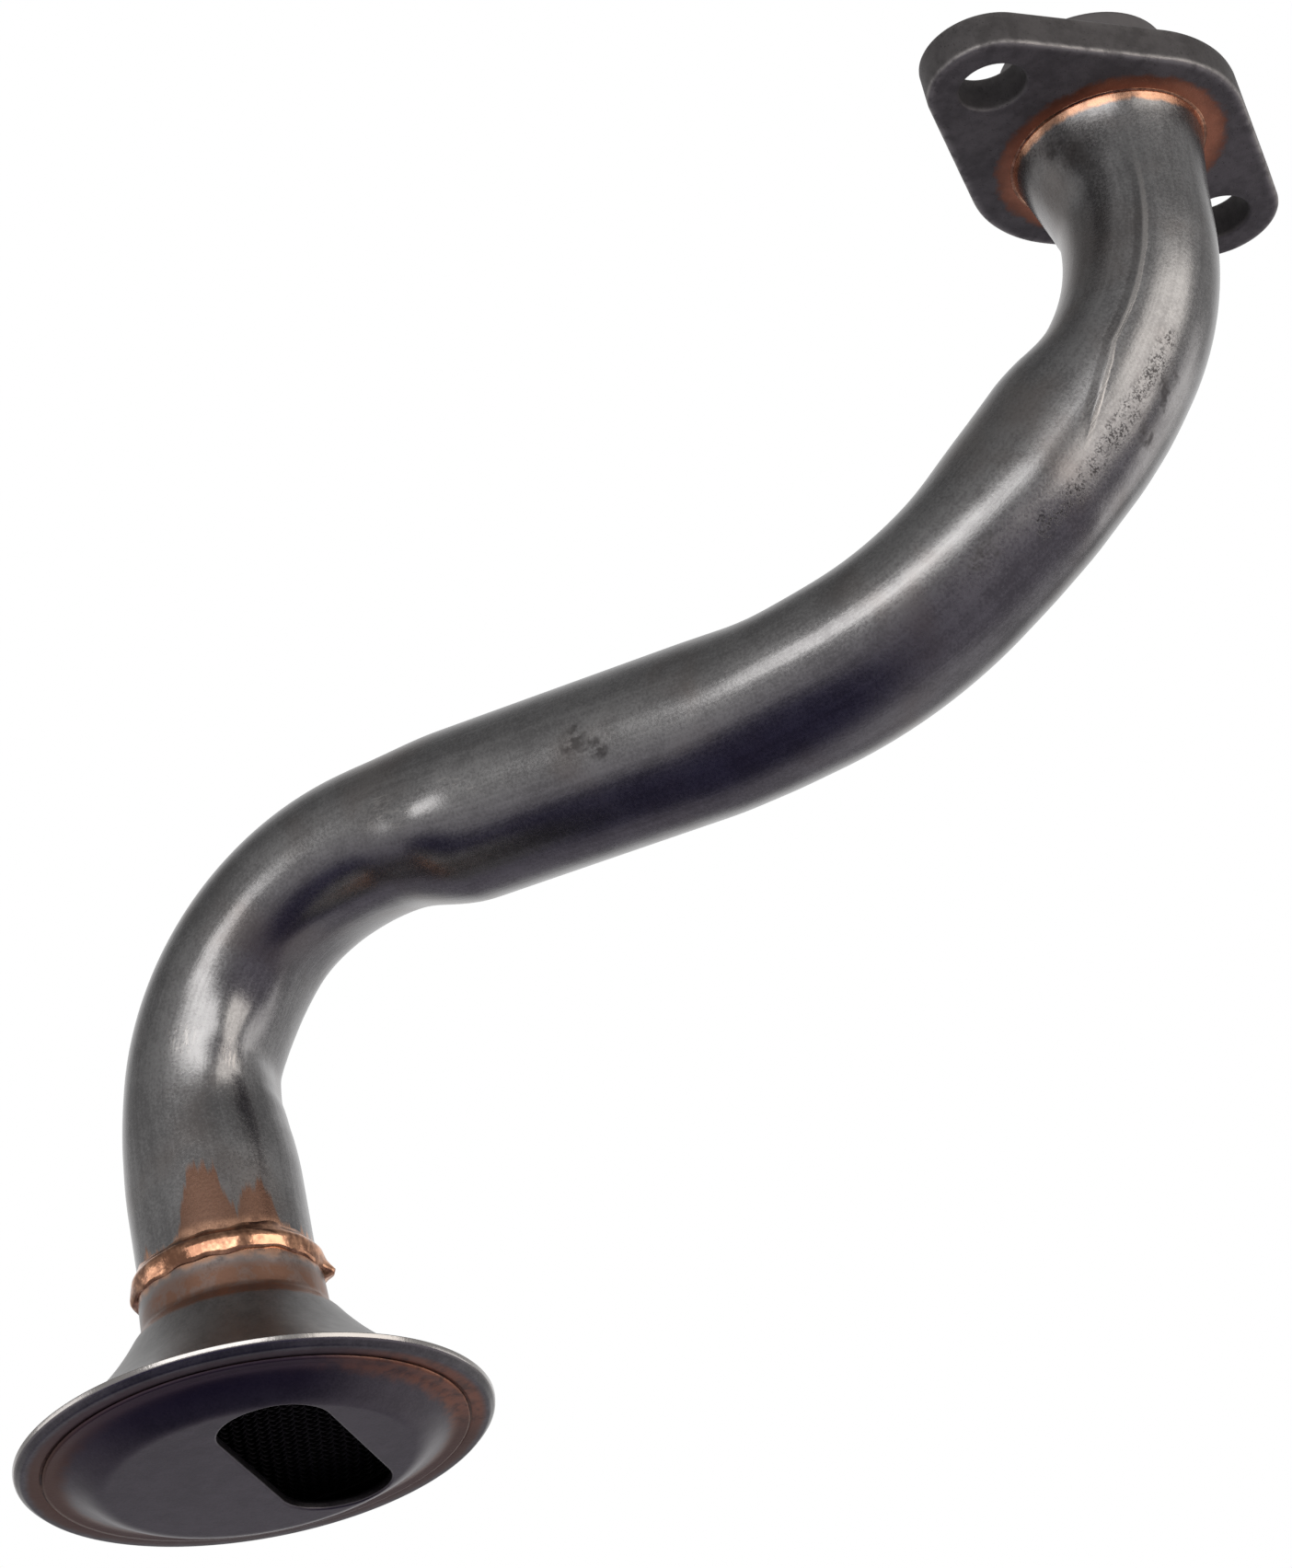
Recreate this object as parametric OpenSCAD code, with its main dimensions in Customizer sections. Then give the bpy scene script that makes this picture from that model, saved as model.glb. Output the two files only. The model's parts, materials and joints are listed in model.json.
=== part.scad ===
// Oil pickup tube: a bent steel tube, copper-brazed into a two-bolt flange at its
// upper end and into the collar of a strainer bell at its lower end.
// Millimetres, +Z up. The origin is the centre of the flange's mounting face,
// +X runs along the bolt line, and the bell opens downwards.

/* [Tube] */
// Outside diameter of the tube
tube_od = 19; // [17:0.5:21]
// Wall thickness of the tube
tube_wall = 1.2; // [0.8:0.1:1.6]
// Length of the open end that stands above the mounting face
spigot_l = 7.7; // [4:0.1:14]
// Depth of the relief groove rolled in at the foot of that end
relief_depth = 0.5; // [0.4:0.05:0.6]
// Width of the relief groove
relief_w = 1; // [0.8:0.1:1.5]
// Stretch of tube between the mounting face and the groove
relief_rise = 0.3; // [0.2:0.1:0.6]

/* [Route of the centre line] */
// Depth of the first corner, straight below the flange
corner_1_depth = 27; // [25:0.5:32]
// Second corner, along the bolt line
corner_2_x = -19; // [-24:0.5:-14]
// Second corner, across the bolt line
corner_2_y = 30.5; // [27:0.5:36]
// Depth of the second corner
corner_2_depth = 59; // [56:0.5:64]
// Axis of the bell, along the bolt line
bell_x = -42; // [-50:0.5:-34]
// Axis of the bell, across the bolt line
bell_y = 117.5; // [108:0.5:128]
// Depth of the third corner, straight above the bell
corner_3_depth = 49.5; // [44:0.5:54]
// Depth of the bell's rim below the mounting face
rim_depth = 113.6; // [108:0.1:124]

/* [Bends] */
// Centre-line radius of the bend under the flange
bend_1_r = 31.5; // [26:0.5:36]
// Centre-line radius of the middle bend
bend_2_r = 38; // [32:0.5:44]
// Centre-line radius of the bend above the bell
bend_3_r = 26.5; // [22:0.5:30]
// Depth of the flat that the former presses into the inside of the first bend
flat_1 = 1.2; // [0.4:0.1:2]
// Depth of the flat on the inside of the middle bend
flat_2 = 0.4; // [0.3:0.1:1.5]
// Depth of the flat on the inside of the last bend
flat_3 = 2; // [0.4:0.1:3]
// How far the stretched metal draws in, all round, in a bend
bend_thinning = 0.05; // [0.03:0.01:0.1]

/* [Flange] */
// Thickness of the flange
flange_t = 4.5; // [3:0.1:8]
// Distance between the two bolt holes
bolt_spacing = 40; // [36:0.5:46]
// Diameter of a bolt hole
bolt_hole_d = 7.4; // [6:0.1:8.5]
// Width of the flange round the tube, at its middle
flange_land = 6; // [4.5:0.1:8.5]
// Radius of the flange's round ends
flange_end_r = 7.1; // [6:0.1:8]

/* [Bell] */
// Outside diameter of the bell's rim
rim_d = 50.4; // [46:0.2:56]
// Width of the flat ring round the bell's mouth
rim_w = 2.9; // [2.4:0.1:3.6]
// Sheet thickness of the cone and the rim
bell_sheet = 1.2; // [0.9:0.1:1.6]
// Ledge of the rim outside the foot of the cone
rim_ledge = 1.15; // [0.9:0.05:1.6]
// Height of the bell from its rim to the top of its lip
bell_h = 20.5; // [18:0.1:26]
// Height of the collar that grips the tube, with its lip
collar_h = 5.4; // [4:0.1:7]
// Wall thickness of the drawn collar
collar_wall = 0.6; // [0.4:0.05:1]
// How far the rolled lip on top of the collar stands out
lip_out = 0.55; // [0.45:0.05:1]
// Width of the shallow shoulder round the foot of the collar
shoulder_w = 2; // [1:0.1:3]
// Drop of that shoulder
shoulder_drop = 1.5; // [1:0.1:2]
// How far the flared cone is hollowed from a straight line
cone_hollow = 1.4; // [0.8:0.1:1.8]
// Rounding of the mouth's lower edge
mouth_round = 0.6; // [0.3:0.1:0.9]

/* [Inlet cover] */
// Sheet thickness of the cover
cover_sheet = 1; // [0.7:0.1:1.4]
// How far the cover bulges below the rim
cover_bulge = 2.5; // [2:0.1:4]
// Radius of the cover's flat face
cover_flat_r = 16; // [15:0.1:17]
// Width of the narrow brim round the dish
cover_brim_w = 1; // [0.5:0.1:2]
// How far that brim stands below the rim
cover_edge_drop = 0.3; // [0.2:0.1:1]
// Length of the inlet slot
slot_l = 30; // [24:0.5:31]
// Width of the inlet slot
slot_w = 11.8; // [8:0.2:14]
// Distance of the slot's centre line from the bell's axis
slot_offset = 5; // [3:0.1:6]
// Direction of the slot, turned from the bolt line
slot_turn = 27; // [0:1:90]

/* [Strainer screen] */
// Spacing of the wires
wire_pitch = 3.6; // [3.4:0.1:5]
// Width of a wire
wire_w = 0.9; // [0.6:0.1:1.2]
// Height of one layer of wires
wire_h = 0.6; // [0.4:0.1:0.8]
// How deep the two crossing layers sink into each other
wire_bite = 0.25; // [0.15:0.05:0.3]
// Width of the pressed edge that holds the wires
screen_edge_w = 1.6; // [1.2:0.1:2.5]

/* [Joints] */
// Clearance at a brazed or seated joint
joint_gap = 0.05; // [0.02:0.01:0.1]
// Leg of a copper fillet
fillet_leg = 1.2; // [0.8:0.1:1.6]

/* [Hidden] */
$fn = 96;
tube_r = tube_od / 2;
bore_r = tube_r - tube_wall;
flange_mid_r = tube_r + flange_land;
// A straight run reaches this far into the bend it meets
run_overlap = 0.3;
// A cutting tool reaches this far past what it cuts
cut_over = 1;
// A straight edge sits this far inside the arcs it joins, so that it crosses them cleanly
edge_dip = 0.02;

// Bell, in its own frame: the rim's underside is at height 0
rim_r = rim_d / 2;
mouth_r = rim_r - rim_w;
collar_bore_r = tube_r + joint_gap;
collar_r = collar_bore_r + collar_wall;
collar_foot = [collar_r, bell_h - collar_h];
shoulder = collar_foot + [shoulder_w, -shoulder_drop];
cone_foot = [rim_r - rim_ledge, bell_sheet];

// Flare of the cone: an arc through its foot and its shoulder, hollow on the outside
cone_chord = shoulder - cone_foot;
cone_out = unit([cone_chord[1], -cone_chord[0]]);
flare_r = pow(norm(cone_chord), 2) / (8 * cone_hollow) + cone_hollow / 2;
flare_centre = (cone_foot + shoulder) / 2 + (flare_r - cone_hollow) * cone_out;
flare_in_r = flare_r + bell_sheet;
function bearing(point) = atan2(point[1] - flare_centre[1], point[0] - flare_centre[0]) + 360;
function flare_height(r) = flare_centre[1] - sqrt(pow(flare_in_r, 2) - pow(r - flare_centre[0], 2));
function flare_radius(z) = flare_centre[0] - sqrt(pow(flare_in_r, 2) - pow(z - flare_centre[1], 2));

// Inside of the bell: the flare and the shoulder, moved in by the thickness of the sheet
flare_normal = unit(shoulder - flare_centre);
shoulder_run = unit(collar_foot - shoulder);
shoulder_normal = [-shoulder_run[1], shoulder_run[0]];
mitre = (flare_normal + shoulder_normal) / (1 + flare_normal * shoulder_normal);
inner_shoulder = shoulder + bell_sheet * mitre;
function height_at(r, point, run) = point[1] + (r - point[0]) * run[1] / run[0];
land_top_z = flare_height(mouth_r);
bell_throat_z = height_at(collar_bore_r, inner_shoulder, shoulder_run);
flare_outside = arc(flare_centre, flare_r, bearing(cone_foot) % 360, bearing(shoulder) % 360, 10);
flare_inside = arc(flare_centre, flare_in_r, bearing(inner_shoulder) % 360,
    bearing([mouth_r, land_top_z]) % 360, 10);

// Rounded lower edge of the mouth, from its wall to the rim's underside
mouth_edge = arc([mouth_r + mouth_round, mouth_round], mouth_round, 180, 270);

// Rolled lip of the collar: its outside up to the crest, then down to the bore
lip_r = (collar_wall + lip_out) / 2;
lip_centre = [collar_bore_r + lip_r, bell_h - lip_r];
lip_from = acos((collar_r - lip_centre[0]) / lip_r);
crest = 90;
lip_step = 15;
lip_outside = arc(lip_centre, lip_r, -lip_from, crest, 12);
lip_inside = arc(lip_centre, lip_r, crest + lip_step, 180, 5);

// Cover and screen, in the bell's frame
skirt_r = mouth_r - joint_gap;
cover_shoulder_w = skirt_r - cover_brim_w - cover_flat_r;
cover_shoulder_h = cover_bulge - cover_edge_drop;
screen_z = land_top_z + joint_gap;
screen_h = 2 * wire_h - wire_bite;

// Centre line of the tube: its free ends and the corners between them
corners = [
    [0, 0, spigot_l],
    [0, 0, -corner_1_depth],
    [corner_2_x, corner_2_y, -corner_2_depth],
    [bell_x, bell_y, -corner_3_depth],
    [bell_x, bell_y, bell_throat_z - rim_depth],
];
bend_radii = [0, bend_1_r, bend_2_r, bend_3_r, 0];
bend_flats = [0, flat_1, flat_2, flat_3, 0];
last_leg = len(corners) - 2;

function unit(v) = v / norm(v);
function heading(leg) = unit(corners[leg + 1] - corners[leg]);
function turn(bend) = acos(heading(bend - 1) * heading(bend));
function setback(bend) = bend_radii[bend] == 0 ? 0 : bend_radii[bend] * tan(turn(bend) / 2);
function inward(bend) =
    unit(heading(bend) - (heading(bend) * heading(bend - 1)) * heading(bend - 1));
function bend_centre(bend) =
    corners[bend] - setback(bend) * heading(bend - 1) + bend_radii[bend] * inward(bend);

// Points along an arc in the plane of a turned section
function arc(centre, r, from, to, steps = 6) = [
    for (i = [0 : steps])
        let (angle = from + (to - from) * i / steps)
            centre + r * [cos(angle), sin(angle)]
];

// Hollow face of a copper fillet, from the tube's wall down to its foot
function hollow(foot_z, across, up) = [
    for (point = arc([0, 0], 1, 180, 270))
        [tube_r + across * (1 + point[0]), foot_z + up * (1 + point[1])]
];

// Puts a bend's children at its centre: X to the start of the bend, Y along the tube there
module at_bend(bend) {
    x = -inward(bend);
    y = heading(bend - 1);
    z = cross(x, y);
    c = bend_centre(bend);
    multmatrix([
        [x[0], y[0], z[0], c[0]],
        [x[1], y[1], z[1], c[1]],
        [x[2], y[2], z[2], c[2]],
        [0, 0, 0, 1],
    ]) children();
}

module at_bell() {
    translate([bell_x, bell_y, -rim_depth]) children();
}

// One straight of the tube, from the bend before it to the bend after it
module straight_run(leg, r, overrun) {
    d = heading(leg);
    back = leg == 0 ? overrun : run_overlap;
    ahead = leg == last_leg ? overrun : run_overlap;
    start = corners[leg] + (setback(leg) - back) * d;
    end = corners[leg + 1] - (setback(leg + 1) - ahead) * d;
    translate(start)
        rotate([0, acos(d[2]), atan2(d[1], d[0])])
            cylinder(h = norm(end - start), r = r);
}

module bent_run(bend, r) {
    at_bend(bend)
        rotate_extrude(angle = turn(bend))
            translate([bend_radii[bend], 0])
                circle(r = r - bend_thinning);
}

// The round former that flattens the inside of a bend and runs out into the straights
module former(bend, depth) {
    at_bend(bend)
        cylinder(h = 2 * tube_od, r = bend_radii[bend] - tube_r + depth, center = true);
}

// The whole run of the tube as a solid rod, flattened on the inside of its bends
module bent_rod(r, inset, overrun) {
    difference() {
        union() {
            for (leg = [0 : last_leg]) straight_run(leg, r, overrun);
            for (bend = [1 : last_leg]) bent_run(bend, r);
        }
        for (bend = [1 : last_leg]) former(bend, bend_flats[bend] + inset);
    }
}

module pickup_tube() {
    color("#77746f")
        difference() {
            bent_rod(tube_r, 0, 0);
            bent_rod(bore_r, tube_wall, cut_over);
            translate([0, 0, relief_rise])
                difference() {
                    cylinder(h = relief_w, r = tube_r + cut_over);
                    translate([0, 0, -cut_over])
                        cylinder(h = relief_w + 2 * cut_over, r = tube_r - relief_depth);
                }
        }
}

// Straight-sided outline round a big middle circle and two smaller end circles
module diamond(mid_r, end_r, half_spacing) {
    lean = acos((mid_r - end_r) / half_spacing);
    out = [cos(lean), sin(lean)];
    end = [half_spacing, 0] + (end_r - edge_dip) * out;
    mid = (mid_r - edge_dip) * out;
    right_side = [[mid[0], -mid[1]], [end[0], -end[1]], end, mid];
    left_side = [for (point = right_side) -point];
    circle(r = mid_r);
    for (side = [-1, 1]) translate([side * half_spacing, 0]) circle(r = end_r);
    polygon(concat(right_side, left_side));
}

module mounting_flange() {
    color("#3d3b3c")
        translate([0, 0, -flange_t])
            difference() {
                linear_extrude(flange_t)
                    diamond(flange_mid_r, flange_end_r, bolt_spacing / 2);
                translate([0, 0, -cut_over])
                    cylinder(h = flange_t + 2 * cut_over, r = tube_r + joint_gap);
                for (side = [-1, 1])
                    translate([side * bolt_spacing / 2, 0, -cut_over])
                        cylinder(h = flange_t + 2 * cut_over, d = bolt_hole_d);
            }
}

// Hollow copper fillet between the tube and the underside of the flange
module flange_braze() {
    color("#b9683f")
        translate([0, 0, -flange_t])
            mirror([0, 0, 1])
                rotate_extrude()
                    polygon(concat(hollow(0, fillet_leg, fillet_leg), [[tube_r, 0]]));
}

// Section of the pressed bell, from the mouth's lower edge round the outside
module bell_section() {
    polygon(concat(
        mouth_edge,
        arc([rim_r - bell_sheet / 2, bell_sheet / 2], bell_sheet / 2, -90, 90, 10),
        flare_outside,
        [collar_foot],
        lip_outside,
        lip_inside,
        [[collar_bore_r, bell_throat_z], inner_shoulder],
        [for (i = [1 : len(flare_inside) - 1]) flare_inside[i]]
    ));
}

module strainer_bell() {
    color("#6d6a66")
        at_bell()
            rotate_extrude()
                bell_section();
}

// Copper that fills the lip's groove round the tube, with a hollow face from its crest upwards
module neck_braze() {
    face = hollow(bell_h, lip_centre[0] - tube_r, fillet_leg);
    color("#c47a4c")
        at_bell()
            rotate_extrude()
                polygon(concat(face, lip_inside, [[tube_r, lip_centre[1]]]));
}

// Section of a dished plug: a flat face, an S-shaped shoulder, a brim and a straight skirt
module dished_plug(r, bottom_z, top_z) {
    steps = 14;
    shoulder_line = [
        for (i = [0 : steps])
            [cover_flat_r + cover_shoulder_w * i / steps,
                bottom_z + cover_shoulder_h * (1 - cos(180 * i / steps)) / 2]
    ];
    polygon(concat(
        [[0, top_z], [0, bottom_z]],
        shoulder_line,
        [[r, bottom_z + cover_shoulder_h], [r, top_z]]
    ));
}

module slot_outline() {
    reach = (slot_l - slot_w) / 2;
    rotate(slot_turn)
        translate([0, -slot_offset]) {
            for (side = [-1, 1]) translate([side * reach, 0]) circle(d = slot_w);
            square([2 * reach, slot_w - 2 * edge_dip], center = true);
        }
}

module inlet_cover() {
    color("#6a676a")
        at_bell()
            difference() {
                rotate_extrude()
                    dished_plug(skirt_r, -cover_bulge, land_top_z);
                rotate_extrude()
                    dished_plug(skirt_r - cover_sheet, cover_sheet - cover_bulge,
                        land_top_z + cut_over);
                translate([0, 0, -cover_bulge - cut_over])
                    linear_extrude(cover_bulge + land_top_z + 2 * cut_over)
                        slot_outline();
            }
}

// Parallel wires across the screen, as flat ridges
module wire_layer(span) {
    half_count = floor(span / wire_pitch);
    for (i = [-half_count : half_count])
        translate([0, i * wire_pitch, wire_h / 2])
            cube([2 * span, wire_w, wire_h], center = true);
}

module strainer_screen() {
    low_r = flare_radius(screen_z) - joint_gap;
    high_r = flare_radius(screen_z + screen_h) - joint_gap;
    field_r = high_r - screen_edge_w;
    wire_reach = field_r + screen_edge_w / 2;
    color("#55524f")
        at_bell()
            translate([0, 0, screen_z]) {
                difference() {
                    cylinder(h = screen_h, r1 = low_r, r2 = high_r);
                    translate([0, 0, -cut_over]) cylinder(h = screen_h + 2 * cut_over, r = field_r);
                }
                intersection() {
                    cylinder(h = screen_h, r = wire_reach);
                    union() {
                        wire_layer(wire_reach);
                        translate([0, 0, wire_h - wire_bite]) rotate(90) wire_layer(wire_reach);
                    }
                }
            }
}

// Copper in the groove between the mouth's rounded edge and the cover's skirt
module rim_braze() {
    half = floor(len(mouth_edge) / 2);
    fill = [for (i = [half : len(mouth_edge) - 1]) mouth_edge[i]];
    color("#8a5238")
        at_bell()
            rotate_extrude()
                polygon(concat([[skirt_r, 0], [skirt_r, fill[0][1]]], fill));
}

pickup_tube();
mounting_flange();
flange_braze();
strainer_bell();
neck_braze();
strainer_screen();
inlet_cover();
rim_braze();
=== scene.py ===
"""Oil pickup tube: a bent steel tube, copper-brazed into a two-bolt flange and a strainer bell.

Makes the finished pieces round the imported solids, and the studio that they stand in.
"""
import json
from math import acos, atan2, cos, exp, log, pi, radians, sin, sqrt, tan

import bmesh
import bpy
from bpy.props import FloatProperty, FloatVectorProperty, IntProperty, PointerProperty
from bpy.types import Operator, Panel, PropertyGroup
from mathutils import Matrix, Vector


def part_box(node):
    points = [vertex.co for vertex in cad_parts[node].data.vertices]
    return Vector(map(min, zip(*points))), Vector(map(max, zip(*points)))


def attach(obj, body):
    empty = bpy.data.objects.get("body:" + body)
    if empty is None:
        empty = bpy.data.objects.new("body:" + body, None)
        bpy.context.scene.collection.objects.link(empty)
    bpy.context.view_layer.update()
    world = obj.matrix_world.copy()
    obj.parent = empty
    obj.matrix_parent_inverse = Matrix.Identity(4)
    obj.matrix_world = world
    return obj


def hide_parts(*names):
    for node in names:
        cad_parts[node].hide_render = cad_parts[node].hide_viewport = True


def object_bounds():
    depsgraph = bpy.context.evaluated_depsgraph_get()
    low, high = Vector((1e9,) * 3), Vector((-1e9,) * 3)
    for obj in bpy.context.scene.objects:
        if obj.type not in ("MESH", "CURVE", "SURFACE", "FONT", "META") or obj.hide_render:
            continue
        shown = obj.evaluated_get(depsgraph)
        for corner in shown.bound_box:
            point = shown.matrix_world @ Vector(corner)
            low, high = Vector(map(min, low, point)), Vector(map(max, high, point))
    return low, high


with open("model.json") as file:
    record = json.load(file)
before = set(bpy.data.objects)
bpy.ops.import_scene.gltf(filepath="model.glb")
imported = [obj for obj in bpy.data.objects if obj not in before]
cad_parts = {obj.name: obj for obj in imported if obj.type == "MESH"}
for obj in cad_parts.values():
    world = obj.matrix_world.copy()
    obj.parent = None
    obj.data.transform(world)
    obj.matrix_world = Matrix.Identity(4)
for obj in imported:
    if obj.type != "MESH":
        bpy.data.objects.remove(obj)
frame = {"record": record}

bl_info = {
    "name": "Oil Pickup Tube",
    "version": (1, 0, 0),
    "blender": (4, 5, 0),
    "location": "3D View > Sidebar > Oil Pickup",
    "description": "Finished pieces of a brazed steel oil pickup tube, and their studio",
    "category": "Object",
}

MM = 0.001
UP = Vector((0.0, 0.0, 1.0))
CAD_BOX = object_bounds()
MOUNTS = {mount["name"]: mount for mount in frame["record"]["mounts"]}


def node_box(name):
    """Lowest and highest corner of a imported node."""
    low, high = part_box(name)
    return Vector(low), Vector(high)


TUBE_LOW, TUBE_HIGH = node_box("pickup_tube")
FLANGE_LOW, FLANGE_HIGH = node_box("mounting_flange")
BELL_LOW, BELL_HIGH = node_box("strainer_bell")
COVER_LOW, COVER_HIGH = node_box("inlet_cover")
SCREEN_LOW, SCREEN_HIGH = node_box("strainer_screen")

# The bell's own frame: its axis, with heights counted from the rim's underside
BELL_FOOT = Vector(((BELL_LOW.x + BELL_HIGH.x) / 2, (BELL_LOW.y + BELL_HIGH.y) / 2, BELL_LOW.z))


def length(name, millimetres, description):
    """A length, given in millimetres and kept in metres."""
    return FloatProperty(name=name, description=description, default=millimetres * MM,
                         precision=5, subtype="DISTANCE", unit="LENGTH")


def place(name, millimetres, description):
    """A point, given in millimetres and kept in metres."""
    return FloatVectorProperty(name=name, description=description, size=3, precision=5,
                               default=[value * MM for value in millimetres],
                               subtype="TRANSLATION", unit="LENGTH")


def rotation(name, degrees, description):
    """An angle, given in degrees and kept in radians."""
    return FloatProperty(name=name, description=description, default=radians(degrees),
                         subtype="ANGLE", unit="ROTATION")


def light_level(name, default, description):
    """A brightness of the studio, where 1 is white."""
    return FloatProperty(name=name, description=description, default=default, min=0.0)


def colour(name, default, description):
    """A linear colour."""
    return FloatVectorProperty(name=name, description=description, size=3, default=default,
                               min=0.0, max=1.0, subtype="COLOR")


class TubeSizes(PropertyGroup):
    """Sizes of the bent tube."""
    radius: length("Radius", 9.5, "Outside radius of the tube")
    wall: length("Wall", 1.2, "Wall thickness of the tube")
    spigot: length("Spigot", TUBE_HIGH.z / MM, "Length of the end above the flange")
    relief_depth: length("Relief depth", 0.5, "Depth of the groove at the spigot's foot")
    relief_rise: length("Relief rise", 0.3, "Height of that groove above the flange")
    relief_width: length("Relief width", 1.0, "Width of that groove")
    corner_1: place("Corner 1", (0, 0, -27), "First corner of the centre line")
    corner_2: place("Corner 2", (-19, 30.5, -59), "Second corner of the centre line")
    corner_3_depth: length("Corner 3 depth", 49.5, "Depth of the corner above the bell")
    bend_1: length("Bend 1", 31.5, "Centre-line radius of the bend under the flange")
    bend_2: length("Bend 2", 38, "Centre-line radius of the middle bend")
    bend_3: length("Bend 3", 26.5, "Centre-line radius of the bend above the bell")
    squeeze_1: length("Squeeze 1", 1.6, "How far the inside of bend 1 is squeezed in")
    squeeze_2: length("Squeeze 2", 0.5, "How far the inside of bend 2 is squeezed in")
    squeeze_3: length("Squeeze 3", 1.5, "How far the inside of bend 3 is squeezed in")
    draw_1: length("Draw 1", 0.75, "How far the outside of bend 1 draws in")
    draw_2: length("Draw 2", 1.3, "How far the outside of bend 2 draws in")
    draw_3: length("Draw 3", 1.0, "How far the outside of bend 3 draws in")
    flat_3: length("Flat 3", 2.3, "Depth of the flat that the tool pressed into bend 3")
    flat_lean: rotation("Flat lean", 14, "Turn of that flat about the tube")
    meniscus: length("Meniscus", 1.2, "How far the tube swells into the copper at the flange")
    meniscus_fade: length("Meniscus fade", 2.7, "How fast that swelling fades below the flange")
    end_round: length("End round", 0.25, "Rounding of the tube's cut ends")


class FlangeSizes(PropertyGroup):
    """Sizes of the mounting flange."""
    middle: length("Middle radius", FLANGE_HIGH.y / MM, "Radius of the flange round the tube")
    end: length("End radius", 7.1, "Radius of the flange's round ends")
    bolt_spacing: length("Bolt spacing", MOUNTS["flange_bolts"]["dims"]["spacing_x_mm"],
                         "Distance between the bolt holes")
    bolt_hole: length("Bolt hole radius", MOUNTS["flange_bolts"]["dims"]["hole_r_mm"],
                      "Radius of a bolt hole")
    edge: length("Edge round", 0.45, "Rounding of the outer edges")
    hole_edge: length("Hole edge", 0.3, "Rounding of the holes' edges")
    fillet: length("Copper leg", 0.55, "Leg of the copper fillet under the flange")


class BellSizes(PropertyGroup):
    """Sizes of the strainer bell."""
    rim: length("Rim radius", (BELL_HIGH.x - BELL_LOW.x) / MM / 2, "Outside radius of the rim")
    mouth: length("Mouth radius", 22.3, "Radius of the hole that the cover closes")
    sheet: length("Sheet", 1.2, "Sheet thickness")
    height: length("Height", (BELL_HIGH.z - BELL_LOW.z) / MM, "Height from rim to lip")
    draft: length("Draft", 0.1, "How far the rim's outer edge leans in downwards")
    ledge: length("Ledge", 1.15, "Ledge of the rim outside the cone's foot")
    collar_height: length("Collar", 6.2, "Height of the collar with its lip")
    collar: length("Collar radius", 10.04, "Outside radius of the collar")
    bore: length("Collar bore", 9.55, "Bore of the collar")
    shoulder_width: length("Shoulder width", 1.3, "Width of the shoulder round the collar")
    shoulder_drop: length("Shoulder drop", 1.5, "Drop of that shoulder")
    lip: length("Lip", 0.3, "Radius of the rolled lip")
    hollow: length("Hollow", 1.05, "How far the flared cone is hollowed from a straight line")


class CoverSizes(PropertyGroup):
    """Sizes of the dished inlet cover."""
    skirt: length("Skirt radius", (COVER_HIGH.x - COVER_LOW.x) / MM / 2, "Radius of the skirt")
    bulge: length("Bulge", (BELL_LOW.z - COVER_LOW.z) / MM, "Depth of the dish below the rim")
    flat: length("Flat radius", 16, "Radius of the flat face")
    brim: length("Brim", 1.0, "Width of the brim round the dish")
    edge_drop: length("Edge drop", 0.3, "How far the brim stands below the rim")
    sheet: length("Sheet", 1.0, "Sheet thickness")
    slot_length: length("Slot length", 30, "Length of the inlet slot")
    slot_width: length("Slot width", 11.8, "Width of the inlet slot")
    slot_offset: length("Slot offset", 5, "Distance of the slot from the bell's axis")
    slot_turn: rotation("Slot turn", 27, "Direction of the slot")
    slot_round: length("Slot round", 0.25, "Rounding of the punched slot's lower edge")


class ScreenSizes(PropertyGroup):
    """Sizes of the woven strainer screen."""
    pitch: length("Pitch", 0.9, "Spacing of the wires")
    wire: length("Wire", 0.17, "Radius of a wire")
    edge_width: length("Edge", 1.6, "Width of the pressed edge")
    taper: length("Taper", 1.5, "How far the edge narrows upwards, as the bell does")
    sides: IntProperty(name="Sides", description="Sides of a wire's section", default=6, min=3)


class FinishColours(PropertyGroup):
    """Colours of the finishes."""
    steel: colour("Steel", (0.31, 0.305, 0.308), "Drawn steel of the tube")
    steel_dark: colour("Dark steel", (0.19, 0.185, 0.188), "Darker clouds on the steel")
    steel_brown: colour("Brown steel", (0.20, 0.17, 0.158), "Brownish furnace tint")
    bell: colour("Bell", (0.245, 0.238, 0.238), "Pressed steel of the bell")
    cover: colour("Cover", (0.172, 0.157, 0.17), "Pressed steel of the cover")
    flange: colour("Flange", (0.19, 0.178, 0.18), "Charcoal of the sintered flange")
    # Worn-metal colour: for scuffs and worn edges, and also for painted highlights on the tube's
    # seam, the flange's lower edge and the bell's rim edge
    wear_and_highlight: colour("Worn edge", (0.42, 0.40, 0.39), "Bare metal on worn edges")
    copper: colour("Copper", (0.74, 0.40, 0.25), "Bright braze copper")
    copper_stain: colour("Copper stain", (0.27, 0.135, 0.085), "Thin stained copper")
    wetting: colour("Wetting", (0.62, 0.25, 0.14), "Copper that wetted the flange")
    rim_stain: colour("Rim stain", (0.185, 0.095, 0.062), "Thin dark copper on the rim")
    # Temper colour: heat tint, and also painted dark reflection on the near side of the rim and the
    # cover's shoulder
    temper_and_reflection: colour("Temper", (0.085, 0.062, 0.115), "Blue and maroon heat tint of the rim")
    # Soot colour: dark spots and pits, and also painted shade in the seam's groove, on the flange's
    # walls and in the rim's groove
    soot_and_shade: colour("Soot", (0.03, 0.026, 0.026), "Dark spots and pits")
    # Wire colour: nearly black, painted shade for the screen inside the bell
    wire: colour("Wire", (0.03, 0.028, 0.028), "Wire of the screen")


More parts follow.
